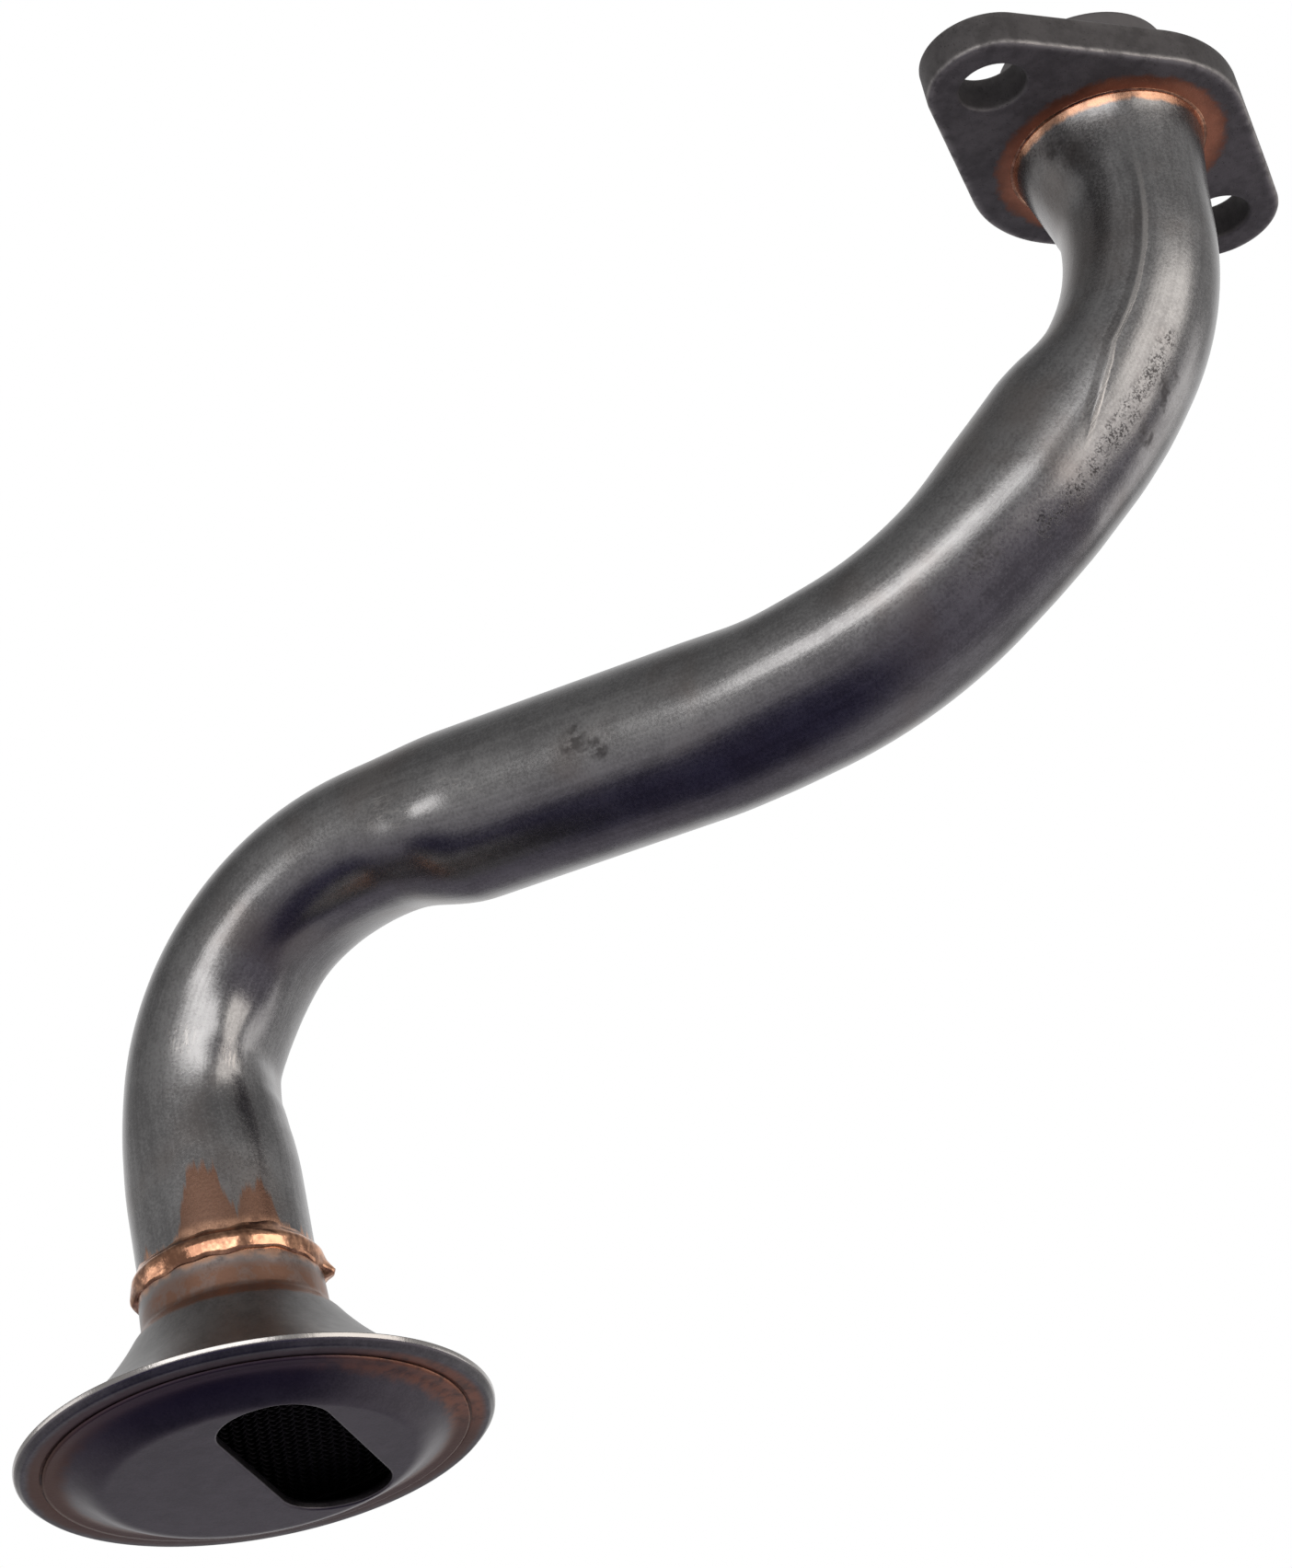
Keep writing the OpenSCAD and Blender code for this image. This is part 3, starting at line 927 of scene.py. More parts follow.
class OILPICKUP_OT_braze(Operator):
    """Makes the copper of the three brazed joints"""
    bl_idname = "oil_pickup.braze"
    bl_label = "Copper Braze"

    def execute(self, context):
        tube_r = settings().tube.radius
        bell = settings().bell
        leg = settings().flange.fillet
        copper = copper_finish()
        under_flange = Vector((0, 0, FLANGE_LOW.z))
        swollen = 0.75
        foot = tube_r + settings().tube.meniscus * swollen
        hollow = [(foot + leg * (1 - sin(radians(a))), -leg * (1 - cos(radians(a))), 0.0)
                  for a in range(0, 91, 10)]
        outline = rounded([(tube_r - 0.02 * MM, 0.0, 0.0), *hollow])
        mesh = turned("flange_copper", outline, under_flange, step=0.2 * MM)
        new_piece("flange_copper", mesh, copper, "braze_copper", "flange_braze")

        mesh = self.neck_bead(tube_r, bell)
        new_piece("neck_copper", mesh, copper, "braze_copper", "neck_braze")

        corner = 0.02 * MM
        outline = rounded([(bell.mouth + out * MM, rise * MM, corner) for out, rise in RIM_SECTION],
                          steps=2)
        mesh = turned("rim_copper", outline, BELL_FOOT, step=0.2 * MM)
        new_piece("rim_copper", mesh, copper, "braze_copper", "rim_braze")
        return {"FINISHED"}

    @staticmethod
    def neck_bead(tube_r, bell):
        """The copper that fills the lip's groove and covers the lip, uneven where it ran."""
        count = 240
        rings = []
        for out, rise, swelling in NECK_SECTION:
            ring = []
            for j in range(count):
                angle = 2 * pi * j / count
                swell = 0.5 * sin(3 * angle + 0.7) + 0.3 * sin(7 * angle + 2.0)
                swell += 0.2 * sin(17 * angle + 0.4)
                r = tube_r + (out + 0.08 * swell * swelling) * MM
                z = bell.height + (rise + 0.5 * swell * (1 - swelling)) * MM
                ring.append(Vector((BELL_FOOT.x + r * cos(angle), BELL_FOOT.y + r * sin(angle),
                                    BELL_FOOT.z + z)))
            rings.append(ring)
        mesh = mesh_of("neck_copper", rings)
        drops(mesh, bell)
        return mesh


def slot_point(sizes, angle, grow):
    """Where a ray from the slot's centre meets the slot's outline, grown all round."""
    half_width = sizes.slot_width / 2 + grow
    reach = (sizes.slot_length - sizes.slot_width) / 2
    ray = Vector((cos(angle), sin(angle)))
    if abs(ray.y) * reach > half_width * abs(ray.x) or abs(ray.x) < 1e-9:
        far = half_width / abs(ray.y)
    else:
        along = abs(ray.x) * reach
        far = along + sqrt(max(0.0, along * along - reach * reach + half_width * half_width))
    return ray * far


class OILPICKUP_OT_cover(Operator):
    """Makes the dished inlet cover with its punched slot"""
    bl_idname = "oil_pickup.cover"
    bl_label = "Inlet Cover"

    def execute(self, context):
        sizes = settings().cover
        width = sizes.skirt - sizes.brim - sizes.flat
        drop = sizes.bulge - sizes.edge_drop
        turn = Matrix.Rotation(sizes.slot_turn, 2)
        middle = turn @ Vector((0.0, -sizes.slot_offset))
        count = 320
        top = COVER_HIGH.z - BELL_FOOT.z

        def face_z(r):
            """Height of the lower face at a radius."""
            out = min(1.0, max(0.0, (r - sizes.flat) / width))
            return -sizes.bulge + drop * (1 - cos(pi * out)) / 2

        def ring(grow, share, rise, limit):
            """Points a share of the way from the grown slot to a circle."""
            loop = []
            for i in range(count):
                angle = 2 * pi * i / count
                inner = middle + turn @ slot_point(sizes, angle, grow)
                ray = (inner - middle).normalized()
                along = middle.dot(ray)
                far = -along + sqrt(along * along - middle.length_squared + limit * limit)
                spot = inner.lerp(middle + ray * far, share)
                loop.append(Vector((spot.x, spot.y, face_z(min(spot.length, sizes.skirt)) + rise)))
            return loop

        edge = sizes.slot_round
        inside = sizes.skirt - sizes.sheet
        rings = []
        for a in (0, 15, 30, 45, 60, 75, 90):
            rings.append(ring(edge * (1 - cos(radians(a))), 0.0,
                              edge * (1 - sin(radians(a))), sizes.skirt))
        face_steps = 64
        for i in range(1, face_steps + 1):
            rings.append(ring(edge, i / face_steps, 0.0, sizes.skirt))
        outer_rim = rings[-1]
        skirt_foot, corner = 0.35 * MM, 0.1 * MM
        for z in (skirt_foot, top - corner):
            rings.append([Vector((p.x, p.y, z)) for p in outer_rim])
        rim_in = [p.xy * ((sizes.skirt - corner) / p.xy.length) for p in outer_rim]
        rings.append([Vector((p.x, p.y, top)) for p in rim_in])
        wall_in = [p.xy * (inside / p.xy.length) for p in outer_rim]
        rings.append([Vector((p.x, p.y, top)) for p in wall_in])
        back_steps = 12
        for i in range(back_steps, -1, -1):
            rings.append(ring(0.0, i / back_steps, sizes.sheet, inside))
        rings.append(ring(0.0, 0.0, sizes.sheet * 0.7, sizes.skirt))
        mesh = mesh_of("cover", [[point + BELL_FOOT for point in loop] for loop in rings])
        new_piece("cover", mesh, cover_finish(), "cover_steel", "inlet_cover")
        return {"FINISHED"}


# How far a wire of the weave rises over the one that it crosses, as a share of its radius
WEAVE_LIFT = 0.95


def woven_tree():
    """Geometry nodes that weave a round piece of wire cloth, and the names of their inputs."""
    group = bpy.data.node_groups.new("woven_cloth", "GeometryNodeTree")
    group.interface.new_socket("Geometry", in_out="OUTPUT", socket_type="NodeSocketGeometry")
    inputs = {}
    for name, kind in (("Radius", "Float"), ("Pitch", "Float"), ("Wire", "Float"),
                       ("Sides", "Int"), ("Wires", "Int"), ("Points", "Int"),
                       ("Material", "Material")):
        socket = group.interface.new_socket(name, in_out="INPUT", socket_type="NodeSocket" + kind)
        inputs[name] = socket.identifier
    tree = NodeTree(group)
    source = group.nodes.new("NodeGroupInput")
    given = {name: Value(tree, source.outputs[name]) for name in inputs}
    radius, pitch = given["Radius"], given["Pitch"]

    def arrow(axis, size):
        """A vector along one axis."""
        return tree.node("ShaderNodeCombineXYZ", None, {axis: size})

    first_wire = (given["Wires"] - 1) * 0.5 * pitch * -1.0
    section = tree.node("GeometryNodeCurvePrimitiveCircle", None,
                        {"Resolution": given["Sides"], "Radius": given["Wire"]})
    layers = tree.node("GeometryNodeJoinGeometry")
    for along, across, lift in (("X", "Y", WEAVE_LIFT), ("Y", "X", -WEAVE_LIFT)):
        wire = tree.node("GeometryNodeCurvePrimitiveLine", None,
                         {"Start": arrow(along, radius * -1.0), "End": arrow(along, radius)})
        fine = tree.node("GeometryNodeResampleCurve", None,
                         {"Curve": wire, "Count": given["Points"]})
        row = tree.node("GeometryNodeMeshLine", None,
                        {"Count": given["Wires"], "Start Location": arrow(across, first_wire),
                         "Offset": arrow(across, pitch)})
        wires = tree.node("GeometryNodeInstanceOnPoints", None, {"Points": row, "Instance": fine})
        loose = tree.node("GeometryNodeRealizeInstances", None, {"Geometry": wires})
        spot = tree.node("GeometryNodeInputPosition")
        wave = tree.math("COSINE", (tree.axis(spot, 0) + tree.axis(spot, 1)) * pi / pitch)
        woven = tree.node("GeometryNodeSetPosition", None,
                          {"Geometry": loose, "Offset": arrow("Z", wave * given["Wire"] * lift)})
        from_axis = tree.node("ShaderNodeVectorMath", {"operation": "LENGTH"}, {0: spot}, 1)
        cut = tree.node("GeometryNodeDeleteGeometry", {"domain": "POINT"},
                        {"Geometry": woven,
                         "Selection": tree.math("GREATER_THAN", from_axis, radius)})
        solid = tree.node("GeometryNodeCurveToMesh", None,
                          {"Curve": cut, "Profile Curve": section, "Fill Caps": True})
        group.links.new(solid.socket, layers.socket.node.inputs[0])
    real = tree.node("GeometryNodeRealizeInstances", None, {"Geometry": layers})
    shaded = tree.node("GeometryNodeSetMaterial", None,
                       {"Geometry": real, "Material": given["Material"]})
    tree.node("NodeGroupOutput", None, {0: shaded})
    return group, inputs


class OILPICKUP_OT_screen(Operator):
    """Weaves the strainer screen and presses its edge"""
    bl_idname = "oil_pickup.screen"
    bl_label = "Strainer Screen"

    def execute(self, context):
        sizes = settings().screen
        material = shaded_wire_finish()
        outside = (SCREEN_HIGH.x - SCREEN_LOW.x) / 2
        field = outside - sizes.taper - sizes.edge_width
        tree, inputs = woven_tree()
        holder = bpy.data.objects.new("screen_weave", bpy.data.meshes.new("screen_weave"))
        bpy.context.scene.collection.objects.link(holder)
        modifier = holder.modifiers.new("weave", "NODES")
        modifier.node_group = tree
        values = {"Radius": field + 0.5 * sizes.edge_width, "Pitch": sizes.pitch,
                  "Wire": sizes.wire, "Sides": sizes.sides,
                  "Wires": 2 * int(field / sizes.pitch) + 1,
                  "Points": int(8 * field / sizes.pitch), "Material": material}
        for name, value in values.items():
            modifier[inputs[name]] = value
        graph = bpy.context.evaluated_depsgraph_get()
        weave = bpy.data.meshes.new_from_object(holder.evaluated_get(graph), depsgraph=graph)
        holder.modifiers.remove(modifier)
        bpy.data.objects.remove(holder)

        middle = Vector((BELL_FOOT.x, BELL_FOOT.y, (SCREEN_LOW.z + SCREEN_HIGH.z) / 2))
        weave.transform(Matrix.Translation(middle))
        half, corner = 0.42 * MM, 0.2 * MM
        ring = rounded([(field, -half, corner), (outside - 0.3 * MM, -half, corner),
                        (outside - sizes.taper - 0.2 * MM, half, corner), (field, half, corner)])
        edge = turned("screen_edge", ring, middle, count=128)
        form = bmesh.new()
        form.from_mesh(weave)
        form.from_mesh(edge)
        for face in form.faces:
            face.smooth = True
        mesh = bpy.data.meshes.new("screen")
        form.to_mesh(mesh)
        form.free()
        new_piece("screen", mesh, material, "screen_wire", "strainer_screen")
        return {"FINISHED"}


def darker(tint, share):
    """A share of a colour."""
    return [value * share for value in tint]


def tube_finish():
    """Satin drawn steel with furnace clouds, draw lines, pits, smudges and copper runs,
    and a painted highlight and painted shade along the seam.
    """
    colours = settings().colours
    finish = Finish("tube_steel")
    spot = finish.spot
    drawn = finish.node("ShaderNodeAttribute", {"attribute_name": "drawn"}, None, "Vector")
    cloud, mottle, grain = finish.tones(9, 2.4, 0.3)
    streak = finish.noise(finish.vector("MULTIPLY", drawn, (1, 1, 0.025)), 0.7 * MM, 3.0, 0.6)
    tone = cloud * 0.3 + streak * 0.22 + mottle * 0.18 + grain * 0.3
    base = finish.mix(finish.step(tone, 0.38, 0.62), colours.steel_dark, colours.steel)
    brown = finish.step(finish.noise(spot, 13 * MM, 3.0, 0.55), 0.5, 0.7) * 0.45
    base = finish.mix(brown, base, colours.steel_brown)

    speck = finish.noise(spot, 0.26 * MM, 3.0, 0.7)
    patchy = finish.noise(spot, 1.1 * MM, 4.0, 0.65)
    smudges = finish.spots(SMUDGES, 3.4 * MM, mottle)
    smudges = smudges * finish.step(patchy * 0.6 + streak * 0.4, 0.4, 0.55)
    scuffs = finish.spots(SCUFFS, 1.4 * MM, mottle)
    rubbed = finish.noise(finish.vector("MULTIPLY", drawn, (1, 1, 0.22)), 0.3 * MM, 3.0, 0.65)
    scuffs = scuffs * finish.step(rubbed, 0.48, 0.62)
    pit_field = 1.8
    row = []
    for first, second in zip(PIT_ROW, PIT_ROW[1:]):
        row += [(Vector(first).lerp(Vector(second), share), pit_field)
                for share in (0.0, 0.25, 0.5, 0.75)]
    pits = finish.spots(row, 2.0 * MM, mottle) * finish.step(speck, 0.5, 0.58)
    pits = pits * finish.step(patchy, 0.4, 0.55)
    base = finish.mix(smudges * 0.7, base, colours.soot_and_shade)
    base = finish.mix(pits * 0.85, base, colours.soot_and_shade)
    base = finish.mix(scuffs * 0.6, base, colours.wear_and_highlight)

    run = finish.axis(drawn, 2)
    angle = finish.math("ARCTAN2", finish.axis(drawn, 1), finish.axis(drawn, 0))
    past = finish.math("MAXIMUM", run - 35 * MM, 0.0)
    across = (angle - radians(136)) * settings().tube.radius + past * 0.35
    across = across + (mottle - 0.5) * 0.35 * MM
    along = finish.step(run, 9 * MM, 20 * MM) * finish.step(run, 48 * MM, 40 * MM)
    along = along * finish.step(streak + cloud * 0.5, 0.55, 0.75)
    # Painted highlight on the seam's ridge and painted shade in the groove beside it, besides their
    # bumps
    seam_ridge_and_highlight = finish.step(abs(across), 0.42 * MM, 0.15 * MM) * along
    seam_groove_and_shade = finish.step(abs(across - 0.85 * MM), 0.7 * MM, 0.2 * MM) * along
    base = finish.mix(seam_ridge_and_highlight * 0.85, base, colours.wear_and_highlight)
    base = finish.mix(seam_groove_and_shade * 0.4, base, colours.soot_and_shade)

    turn, height = finish.around(tuple(BELL_FOOT))[1:]
    lip = settings().bell.height
    ragged = (mottle - 0.5) * 1.6 * MM
    comb = (streak - 0.5) * 7.0 * MM
    first_tongue = finish.step(abs(turn + radians(143)), radians(24), radians(6)) * 7.6 * MM
    second_tongue = finish.step(abs(turn + radians(110)), radians(19), radians(4)) * 5.2 * MM
    shore = lip + 0.9 * MM + ragged
    shore = shore + finish.math("MAXIMUM", first_tongue, second_tongue) + comb
    neck = finish.step(height - shore, 0.5 * MM, -0.9 * MM)
    level = finish.axis(spot, 2)
    under = FLANGE_LOW.z - settings().flange.fillet
    collar = finish.step(level + (mottle - 0.5) * 1.2 * MM, under - 0.6 * MM, under - 0.1 * MM)
    collar = collar * finish.step(level, -0.5 * MM, -1.5 * MM)
    copper = finish.math("MAXIMUM", neck, collar)
    fresh = finish.step(height, lip + 2.2 * MM, lip + 1.0 * MM)
    fresh = finish.math("MAXIMUM", fresh * 0.8, finish.step(level, -12 * MM, -6 * MM))
    tint = finish.mix(fresh * finish.step(mottle, 0.3, 0.55), colours.copper_stain, colours.copper)
    base = finish.mix(copper * 0.85, base, tint)
    spigot = finish.step(level, -0.5 * MM, 0.0)
    base = finish.mix(spigot * 0.85, base, colours.flange)

    roughness = 0.16 + cloud * 0.1 + grain * 0.12 + smudges * 0.15 + spigot * 0.3
    relief = grain * 0.22 + streak * 0.35 + mottle * 0.5 - pits * 0.45 + scuffs * 0.2
    relief = relief + seam_ridge_and_highlight * 0.8 - seam_groove_and_shade * 0.8
    return finish.surface(base, roughness, relief, depth=0.03 * MM)


def flange_finish():
    """Matte charcoal sintered steel with fine pores, worn edges and copper round the tube,
    painted shade on its side walls and a painted highlight along its lower edge.
    """
    colours = settings().colours
    finish = Finish("flange_steel")
    spot = finish.spot
    wear_and_highlight = finish.node("ShaderNodeAttribute", {"attribute_name": "wear_and_highlight"}, None, "Fac")
    cloud, mottle, grain = finish.tones(6, 1.2, 0.22)
    dark = darker(colours.flange, 0.62)
    base = finish.mix(finish.step(cloud * 0.6 + mottle * 0.4, 0.38, 0.62), dark, colours.flange)
    pores = finish.step(grain, 0.38, 0.3)
    base = finish.mix(pores * 0.7, base, colours.soot_and_shade)
    level = finish.axis(spot, 2)
    # Painted shade: the flange's side walls and the walls of its holes are darkened
    wall = finish.step(level, FLANGE_LOW.z + 0.2 * MM, FLANGE_LOW.z + 0.7 * MM)
    wall = wall * finish.step(level, FLANGE_HIGH.z - 0.1 * MM, FLANGE_HIGH.z - 0.5 * MM)
    base = finish.mix(wall * 0.55, base, colours.soot_and_shade)
    # Outer edges lightened with worn metal: partly wear, partly painted highlight, strongest on the
    # lower edge
    low_edge = finish.step(level, FLANGE_LOW.z + 0.9 * MM, FLANGE_LOW.z + 0.1 * MM)
    rub_and_highlight = wear_and_highlight * (0.25 + 0.75 * finish.step(mottle + cloud * 0.5, 0.55, 0.85))
    rub_and_highlight = rub_and_highlight * (0.1 + low_edge * 0.5)
    base = finish.mix(rub_and_highlight, base, colours.wear_and_highlight)
    radius, turn = finish.around((0.0, 0.0, 0.0))[:2]
    lean = finish.math("COSINE", turn + radians(40)) * 0.3 * MM
    wet = finish.step(radius - lean + (mottle - 0.5) * 1.8 * MM, 13.3 * MM, 12.3 * MM)
    wet = wet * finish.step(level, FLANGE_LOW.z + 0.4 * MM, FLANGE_LOW.z + 0.1 * MM)
    dull = darker(colours.wetting, 0.5)
    fresh = finish.step(radius - lean + (cloud - 0.5) * 4.0 * MM, 13.0 * MM, 10.8 * MM)
    wetting = finish.mix(fresh * (0.5 + mottle), dull, colours.wetting)
    base = finish.mix(wet * 0.9, base, wetting)
    roughness = 0.52 + grain * 0.16 - rub_and_highlight * 0.2 - wet * 0.12
    relief = grain * 0.5 + mottle * 0.5 - pores * 0.5
    metallic = 0.45 + rub_and_highlight * 0.5 + wet * 0.4
    return finish.surface(base, roughness, relief, metallic, 0.05 * MM)


def copper_finish():
    """Bright furnace copper with darker stains, and painted shade on the ring in the rim's groove.
    """
    colours = settings().colours
    finish = Finish("braze_copper")
    spot = finish.spot
    cloud = finish.noise(spot, 3.2 * MM, 3.0, 0.6)
    mottle = finish.noise(spot, 0.9 * MM, 3.0, 0.6)
    base = finish.mix(finish.step(cloud * 0.6 + mottle * 0.4, 0.4, 0.62),
                      colours.copper_stain, colours.copper)
    level = finish.axis(spot, 2)
    # Painted shade: the copper ring in the groove between cover and rim is darkened
    groove = finish.step(level, BELL_FOOT.z + 1.0 * MM, BELL_FOOT.z + 0.5 * MM)
    base = finish.mix(groove * 0.75, base, colours.soot_and_shade)
    roughness = 0.09 + cloud * 0.14 + groove * 0.25
    return finish.surface(base, roughness, mottle * 0.7 + cloud, depth=0.04 * MM)


def two_sides(finish, turn):
    """A mask round the bell that is strongest on two opposite sides."""
    return finish.math("COSINE", (turn + radians(46)) * 2.0) * 0.3 + 0.7


def stained(finish, colours, base, turn, warm_side, mottle, copper, tint_and_reflection_share):
    """Dark and warm copper at the mouth; painted dark reflection and heat tint on its near side."""
    crept, strength = copper
    warm = finish.facing(turn, warm_side, 0.72, 0.95)
    # Painted dark reflection, partly heat tint, on the side at -135 degrees, away from the warm
    # copper
    tint_and_reflection = tint_and_reflection_share * finish.facing(turn, -135, 0.2, 0.9) * (1.0 - warm)
    base = finish.mix(crept * strength, base, colours.rim_stain)
    base = finish.mix(tint_and_reflection, base, colours.temper_and_reflection)
    return finish.mix(crept * warm * finish.step(mottle, 0.3, 0.55) * 0.5, base, colours.wetting)


def bell_finish():
    """Satin pressed steel with soft upright streaks, a copper collar and a stained rim,
    with a painted highlight on the rim's edge and painted dark reflection on its near side.
    """
    colours = settings().colours
    finish = Finish("bell_steel")
    spot = finish.spot
    radius, turn, height = finish.around(tuple(BELL_FOOT))
    cloud, mottle, grain = finish.tones(8, 2.0, 0.3)
    streak = finish.noise(finish.vector("MULTIPLY", spot, (1, 1, 0.08)), 1.4 * MM, 3.0, 0.6)
    tone = cloud * 0.3 + streak * 0.25 + mottle * 0.15 + grain * 0.3
    dark = darker(colours.bell, 0.66)
    base = finish.mix(finish.step(tone, 0.38, 0.62), dark, colours.bell)
    rubbed = finish.step(height, 13.4 * MM, 14.6 * MM) * finish.step(tone, 0.34, 0.52)
    base = finish.mix(rubbed * 0.8, base, colours.steel)

    ragged = (mottle - 0.5) * 1.8 * MM
    collar = finish.step(height + ragged, 17.1 * MM, 18.4 * MM)
    front = finish.facing(turn, -125, -0.2, 0.7)
    foot = finish.step(height + ragged * 0.4, 12.4 * MM, 13.2 * MM)
    foot = foot * finish.step(height + ragged - front * 1.2 * MM, 16.8 * MM, 14.9 * MM)
    foot = foot * (0.7 + 0.3 * finish.step(mottle, 0.4, 0.55)) * (0.2 + 0.8 * front)
    under = finish.step(height, 0.5 * MM, 0.15 * MM)
    rim = under * finish.step(radius + ragged * 0.4, 24.3 * MM, 23.4 * MM)
    # The rim's outer edge in worn-metal colour all round: partly wear, partly painted highlight
    edge = finish.step(radius, 24.85 * MM, 25.05 * MM)
    bright = finish.mix(finish.step(mottle, 0.34, 0.56), colours.copper_stain, colours.copper)
    base = finish.mix(foot * 0.9, base, colours.copper_stain)
    rim = rim * two_sides(finish, turn)
    # The rim's underside gets painted dark reflection, partly heat tint, on its near side
    base = stained(finish, colours, base, turn, -72, mottle, (rim, 0.95), rim * 0.6)
    base = finish.mix(edge * 0.85, base, colours.wear_and_highlight)
    base = finish.mix(collar * 0.9, base, bright)
    roughness = 0.27 + cloud * 0.1 + grain * 0.1 - collar * 0.1 - edge * 0.16
    relief = grain * 0.3 + streak * 0.5 + mottle * 0.5
    return finish.surface(base, roughness, relief, depth=0.03 * MM)


def cover_finish():
    """Satin pressed steel, warm at the edge where copper crept over it,
    and with painted dark reflection on the near side of its shoulder.
    """
    colours = settings().colours
    finish = Finish("cover_steel")
    radius, turn = finish.around(tuple(BELL_FOOT))[:2]
    cloud, mottle, grain = finish.tones(7, 1.8, 0.25)
    dark = darker(colours.cover, 0.72)
    base = finish.mix(finish.step(cloud * 0.4 + mottle * 0.25 + grain * 0.35, 0.38, 0.62),
                      dark, colours.cover)
    crept = finish.step(radius + (mottle - 0.5) * 1.6 * MM, 19.4 * MM, 21.0 * MM)
    crept = crept * two_sides(finish, turn)
    # The dish's shoulder gets painted dark reflection, partly heat tint, on its near side
    shaded = finish.step(radius, 17.0 * MM, 19.5 * MM) * 0.5
    base = stained(finish, colours, base, turn, -78, mottle, (crept, 0.9), shaded)
    roughness = 0.27 + cloud * 0.1 + grain * 0.1
    relief = grain * 0.4 + mottle * 0.6
    return finish.surface(base, roughness, relief, depth=0.03 * MM)


def shaded_wire_finish():
    """Drawn wire, nearly black: painted shade for the inside of the bell."""
    colours = settings().colours
    finish = Finish("screen_wire")
    mottle = finish.noise(finish.spot, 1.5 * MM, 3.0, 0.6)
    grain = finish.noise(finish.spot, 0.2 * MM, 2.0, 0.5)
    dark = darker(colours.wire, 0.6)
    base = finish.mix(finish.step(mottle, 0.4, 0.6), dark, colours.wire)
    return finish.surface(base, 0.5 + mottle * 0.15, grain, depth=0.02 * MM)


class Studio:
    """Directions of the studio, seen from the camera."""

    def __init__(self, sizes):
        self.eye = Vector(sizes.eye)
        self.forward = (Vector(sizes.aim) - self.eye).normalized()
        level = self.forward.cross(UP).normalized()
        raised = level.cross(self.forward)
        self.right = cos(sizes.roll) * level + sin(sizes.roll) * raised
        self.up = self.right.cross(self.forward)

    def towards(self, off_axis, clock):
        """A direction this far from the camera's own, turned like a clock's hand from 3 o'clock."""
        across = cos(radians(clock)) * self.right + sin(radians(clock)) * self.up
        return cos(radians(off_axis)) * -self.forward + sin(radians(off_axis)) * across


# Lamps: bearing and elevation in degrees, width and height in metres, colour
LAMPS = (("key", (-152, 4), (0.92, 0.3), (1.0, 0.99, 0.97)),
         ("side", (-82, -3), (0.78, 0.62), (1.0, 0.95, 0.88)),
         ("left", (130, 2), (0.55, 0.24), (1.0, 0.98, 0.96)),
         ("rim", (-25, -6), (0.46, 0.4), (1.0, 0.97, 0.94)))
LAMP_DISTANCE = 0.9


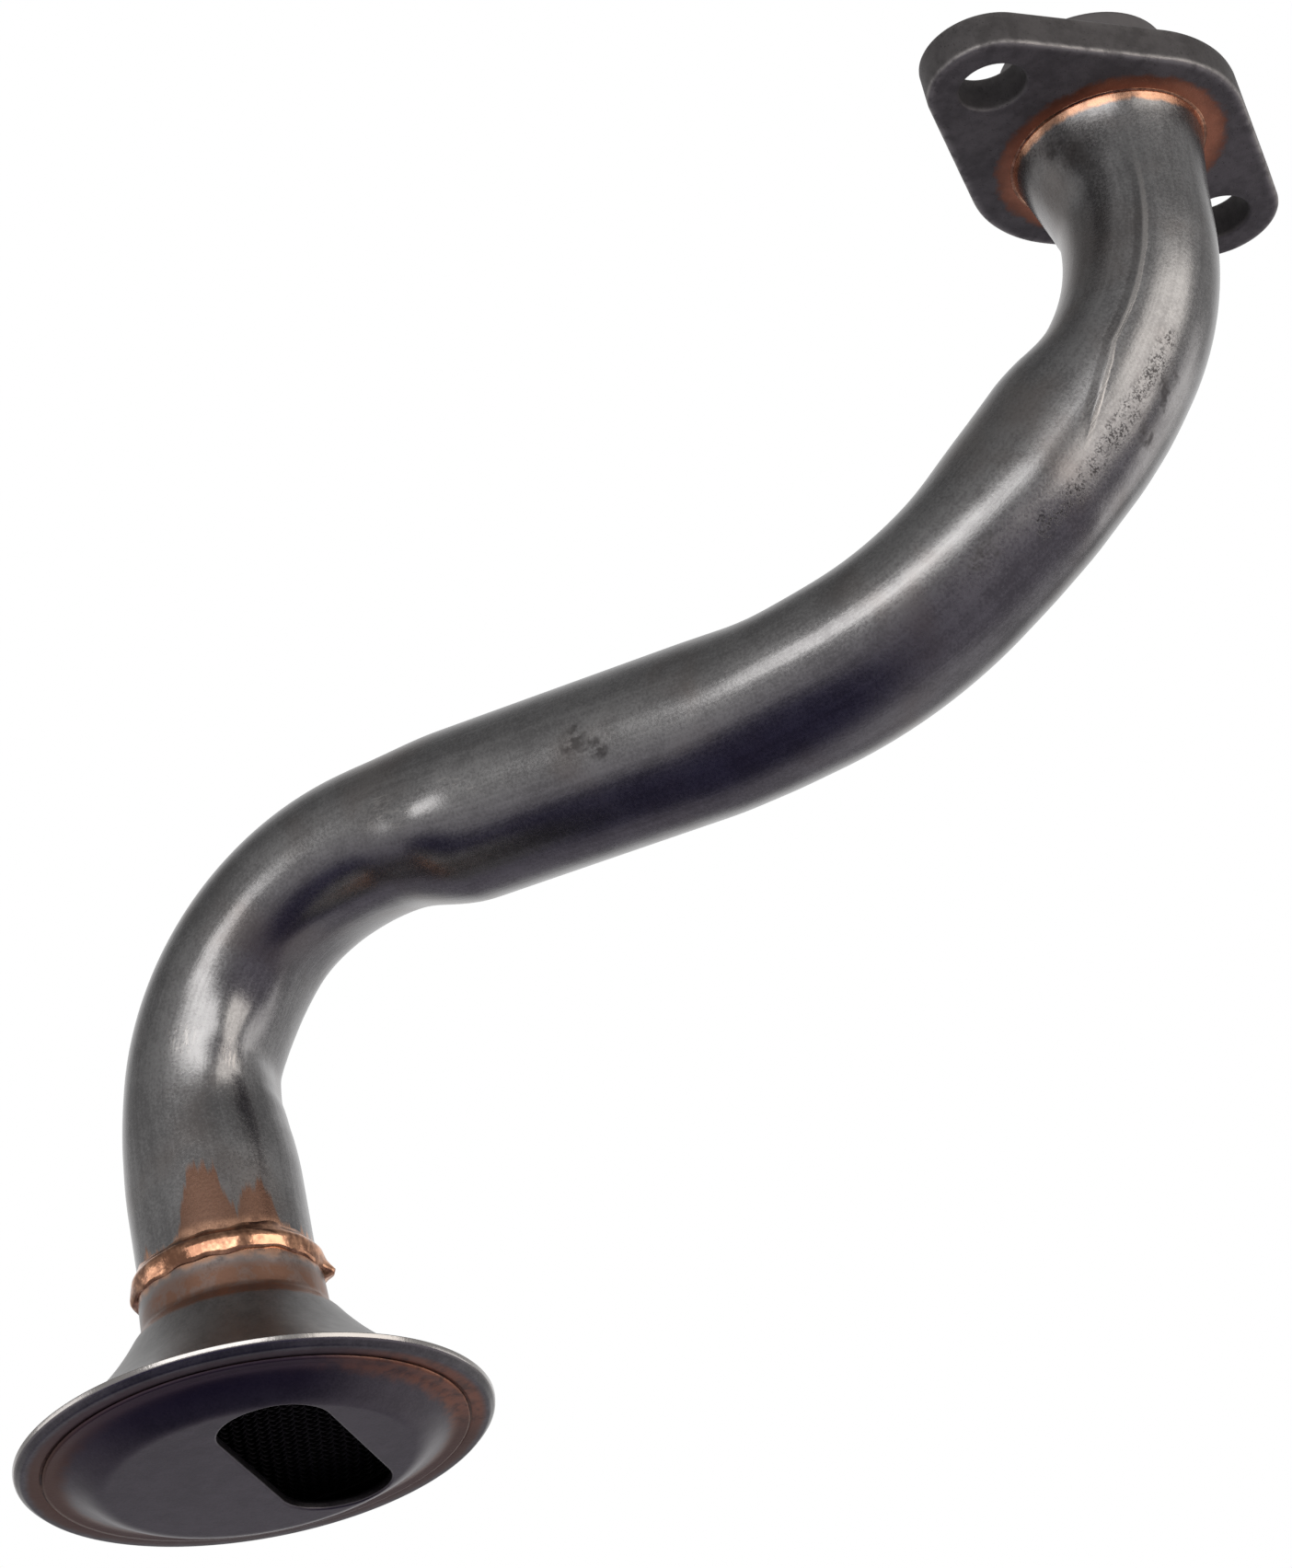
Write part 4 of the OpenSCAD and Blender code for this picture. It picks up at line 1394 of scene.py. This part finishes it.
class OILPICKUP_OT_stage(Operator):
    """Sets up the floor, the light and the camera"""
    bl_idname = "oil_pickup.stage"
    bl_label = "Studio"

    def execute(self, context):
        sizes = settings().studio
        studio = Studio(sizes)
        self.camera(sizes, studio)
        self.world(sizes, studio)
        floor = self.floor(sizes)
        lamps = {name: self.lamp(name, getattr(sizes, name), *lamp) for name, *lamp in LAMPS}
        self.keep_off(lamps["side"], floor)
        bpy.context.scene.view_settings.view_transform = "Standard"
        return {"FINISHED"}

    @staticmethod
    def camera(sizes, studio):
        """The camera at the view of the photograph."""
        data = bpy.data.cameras.new("camera")
        data.sensor_fit = "HORIZONTAL"
        data.sensor_width = 36.0
        data.lens = sizes.lens
        camera = bpy.data.objects.new("camera", data)
        bpy.context.scene.collection.objects.link(camera)
        turn = Matrix((studio.right, studio.up, -studio.forward)).transposed()
        camera.matrix_world = Matrix.Translation(studio.eye) @ turn.to_4x4()
        bpy.context.scene.camera = camera

    @staticmethod
    def lamp(name, brightness, bearing, size, tint):
        """A soft rectangular light that faces the part from a bearing and an elevation."""
        middle = (Vector(CAD_BOX[0]) + Vector(CAD_BOX[1])) / 2
        around, above = (radians(angle) for angle in bearing)
        direction = Vector((cos(around) * cos(above), sin(around) * cos(above), sin(above)))
        data = bpy.data.lights.new(name + "_light", "AREA")
        data.shape = "RECTANGLE"
        data.size, data.size_y = size
        data.energy = brightness * pi * size[0] * size[1]
        data.color = tint
        lamp = bpy.data.objects.new(name + "_light", data)
        bpy.context.scene.collection.objects.link(lamp)
        lamp.location = middle + direction * LAMP_DISTANCE
        lamp.rotation_euler = direction.to_track_quat("Z", "Y").to_euler()
        lamp.visible_camera = False
        return lamp

    @staticmethod
    def keep_off(lamp, floor):
        """Keeps a lamp that reaches below the floor from drawing a bright edge on it."""
        spared = bpy.data.collections.new(lamp.name + "_spares")
        spared.objects.link(floor)
        spared.collection_objects[0].light_linking.link_state = "EXCLUDE"
        lamp.light_linking.receiver_collection = spared

    @staticmethod
    def world(sizes, studio):
        """White for the camera; a dim studio with its white backdrop for everything else."""
        world = bpy.data.worlds.new("studio")
        world.use_nodes = True
        bpy.context.scene.world = world
        tree = NodeTree(world.node_tree)
        way = tree.node("ShaderNodeTexCoord", None, None, "Generated")
        behind = tree.vector("DOT_PRODUCT", way, tuple(studio.forward), 1)
        level = tree.axis(way, 2)
        backdrop = tree.step(behind, 0.6, 1.0) * (1.0 - 0.5 * tree.step(level, 0.4, 0.9))
        left = tree.vector("DOT_PRODUCT", way, tuple(studio.towards(48, 160)), 1)
        glow = tree.step(left, 0.35, 1.0) * 0.4
        haze = tree.step(level, -0.3, 0.15) * tree.step(level, 0.75, 0.3) * 0.4
        low_card = (0.8, 0.05, -0.6)
        bounce = tree.step(tree.vector("DOT_PRODUCT", way, low_card, 1), 0.88, 0.99) * 0.3
        dim = sizes.dim
        shade = tree.mix(tree.step(level, 0.1, -0.6), (dim, dim, dim),
                         (dim, dim * 0.92, dim * 1.1))
        glow = tree.math("MAXIMUM", tree.math("MAXIMUM", glow, haze), bounce)
        shade = tree.mix(glow, shade, (0.8, 0.79, 0.78))
        shade = tree.mix(backdrop * 0.6, shade, (1.0, 0.99, 0.98))
        camera = tree.node("ShaderNodeLightPath", None, None, "Is Camera Ray")
        glossy = tree.node("ShaderNodeLightPath", None, None, "Is Glossy Ray")
        clear = tree.node("ShaderNodeLightPath", None, None, "Is Transmission Ray")
        mirrored = tree.math("MAXIMUM", glossy, clear) * backdrop
        seen = tree.mix(tree.math("MAXIMUM", camera, mirrored), shade, (1.0, 1.0, 1.0))
        light = tree.node("ShaderNodeBackground", None, {"Color": seen, "Strength": 1.0})
        tree.node("ShaderNodeOutputWorld", None, {"Surface": light})

    @staticmethod
    def floor(sizes):
        """A pale round floor, of which the part mirrors only the near, shaded middle."""
        count = 96
        rings = [circle(Vector((0, 0, 0)), radius, sizes.floor, count)
                 for radius in (0.02, 0.4, 1.0, 1.8)]
        points = [point for ring in rings for point in ring]
        faces = loft(rings) + [tuple(range(count))]
        mesh = bpy.data.meshes.new("floor")
        mesh.from_pydata([tuple(point) for point in points], [], faces)
        finish = Finish("floor_paper")
        fibre = finish.noise(finish.spot, 30 * MM, 3.0)
        rays = finish.node("ShaderNodeLightPath", None, None, "Is Camera Ray")
        pale = finish.mix(fibre, (0.80, 0.795, 0.785), (0.86, 0.855, 0.845))
        mirrored = (0.06, 0.05, 0.14)
        base = finish.mix(rays, mirrored, pale)
        lift = finish.mix(rays, (0.0, 0.0, 0.0), (0.42, 0.42, 0.42))
        table = (-0.14, 0.16, 0.0)
        near = finish.step(finish.around(table)[0], 0.42, 0.22)
        paper = finish.node("ShaderNodeBsdfPrincipled", None,
                            {"Base Color": base, "Roughness": 0.8, "Emission Color": lift,
                             "Emission Strength": 1.0})
        clear = finish.node("ShaderNodeBsdfTransparent", None, {"Color": (1, 1, 1, 1)})
        shown = finish.node("ShaderNodeMixShader", None,
                            {0: finish.math("MAXIMUM", rays, near), 1: clear, 2: paper})
        finish.node("ShaderNodeOutputMaterial", None, {"Surface": shown})
        mesh.materials.append(finish.material)
        floor = bpy.data.objects.new("floor", mesh)
        bpy.context.scene.collection.objects.link(floor)
        return floor


class OILPICKUP_PT_panel(Panel):
    """Lists the sizes, the colours and the steps"""
    bl_idname = "OILPICKUP_PT_panel"
    bl_label = "Oil Pickup Tube"
    bl_space_type = "VIEW_3D"
    bl_region_type = "UI"
    bl_category = "Oil Pickup"

    def draw(self, context):
        layout = self.layout
        for operator in OPERATORS:
            layout.operator(operator.bl_idname)
        for group in PickupSettings.__annotations__:
            box = layout.box()
            box.label(text=group.capitalize())
            values = getattr(context.scene.oil_pickup, group)
            for name in type(values).__annotations__:
                box.prop(values, name)


GROUPS = (TubeSizes, FlangeSizes, BellSizes, CoverSizes, ScreenSizes, FinishColours,
          StudioSettings, PickupSettings)
OPERATORS = (OILPICKUP_OT_tube, OILPICKUP_OT_flange, OILPICKUP_OT_bell, OILPICKUP_OT_braze,
             OILPICKUP_OT_cover, OILPICKUP_OT_screen, OILPICKUP_OT_stage)
CLASSES = (*GROUPS, *OPERATORS, OILPICKUP_PT_panel)


def register():
    """Registers the classes and puts the settings on the scene."""
    for cls in CLASSES:
        bpy.utils.register_class(cls)
    bpy.types.Scene.oil_pickup = PointerProperty(type=PickupSettings)


def unregister():
    """Undoes register."""
    del bpy.types.Scene.oil_pickup
    for cls in reversed(CLASSES):
        bpy.utils.unregister_class(cls)


def main():
    """Makes all the pieces and the studio."""
    register()
    bpy.ops.oil_pickup.tube()
    bpy.ops.oil_pickup.flange()
    bpy.ops.oil_pickup.bell()
    bpy.ops.oil_pickup.braze()
    bpy.ops.oil_pickup.cover()
    bpy.ops.oil_pickup.screen()
    bpy.ops.oil_pickup.stage()


if __name__ == "__main__":
    main()
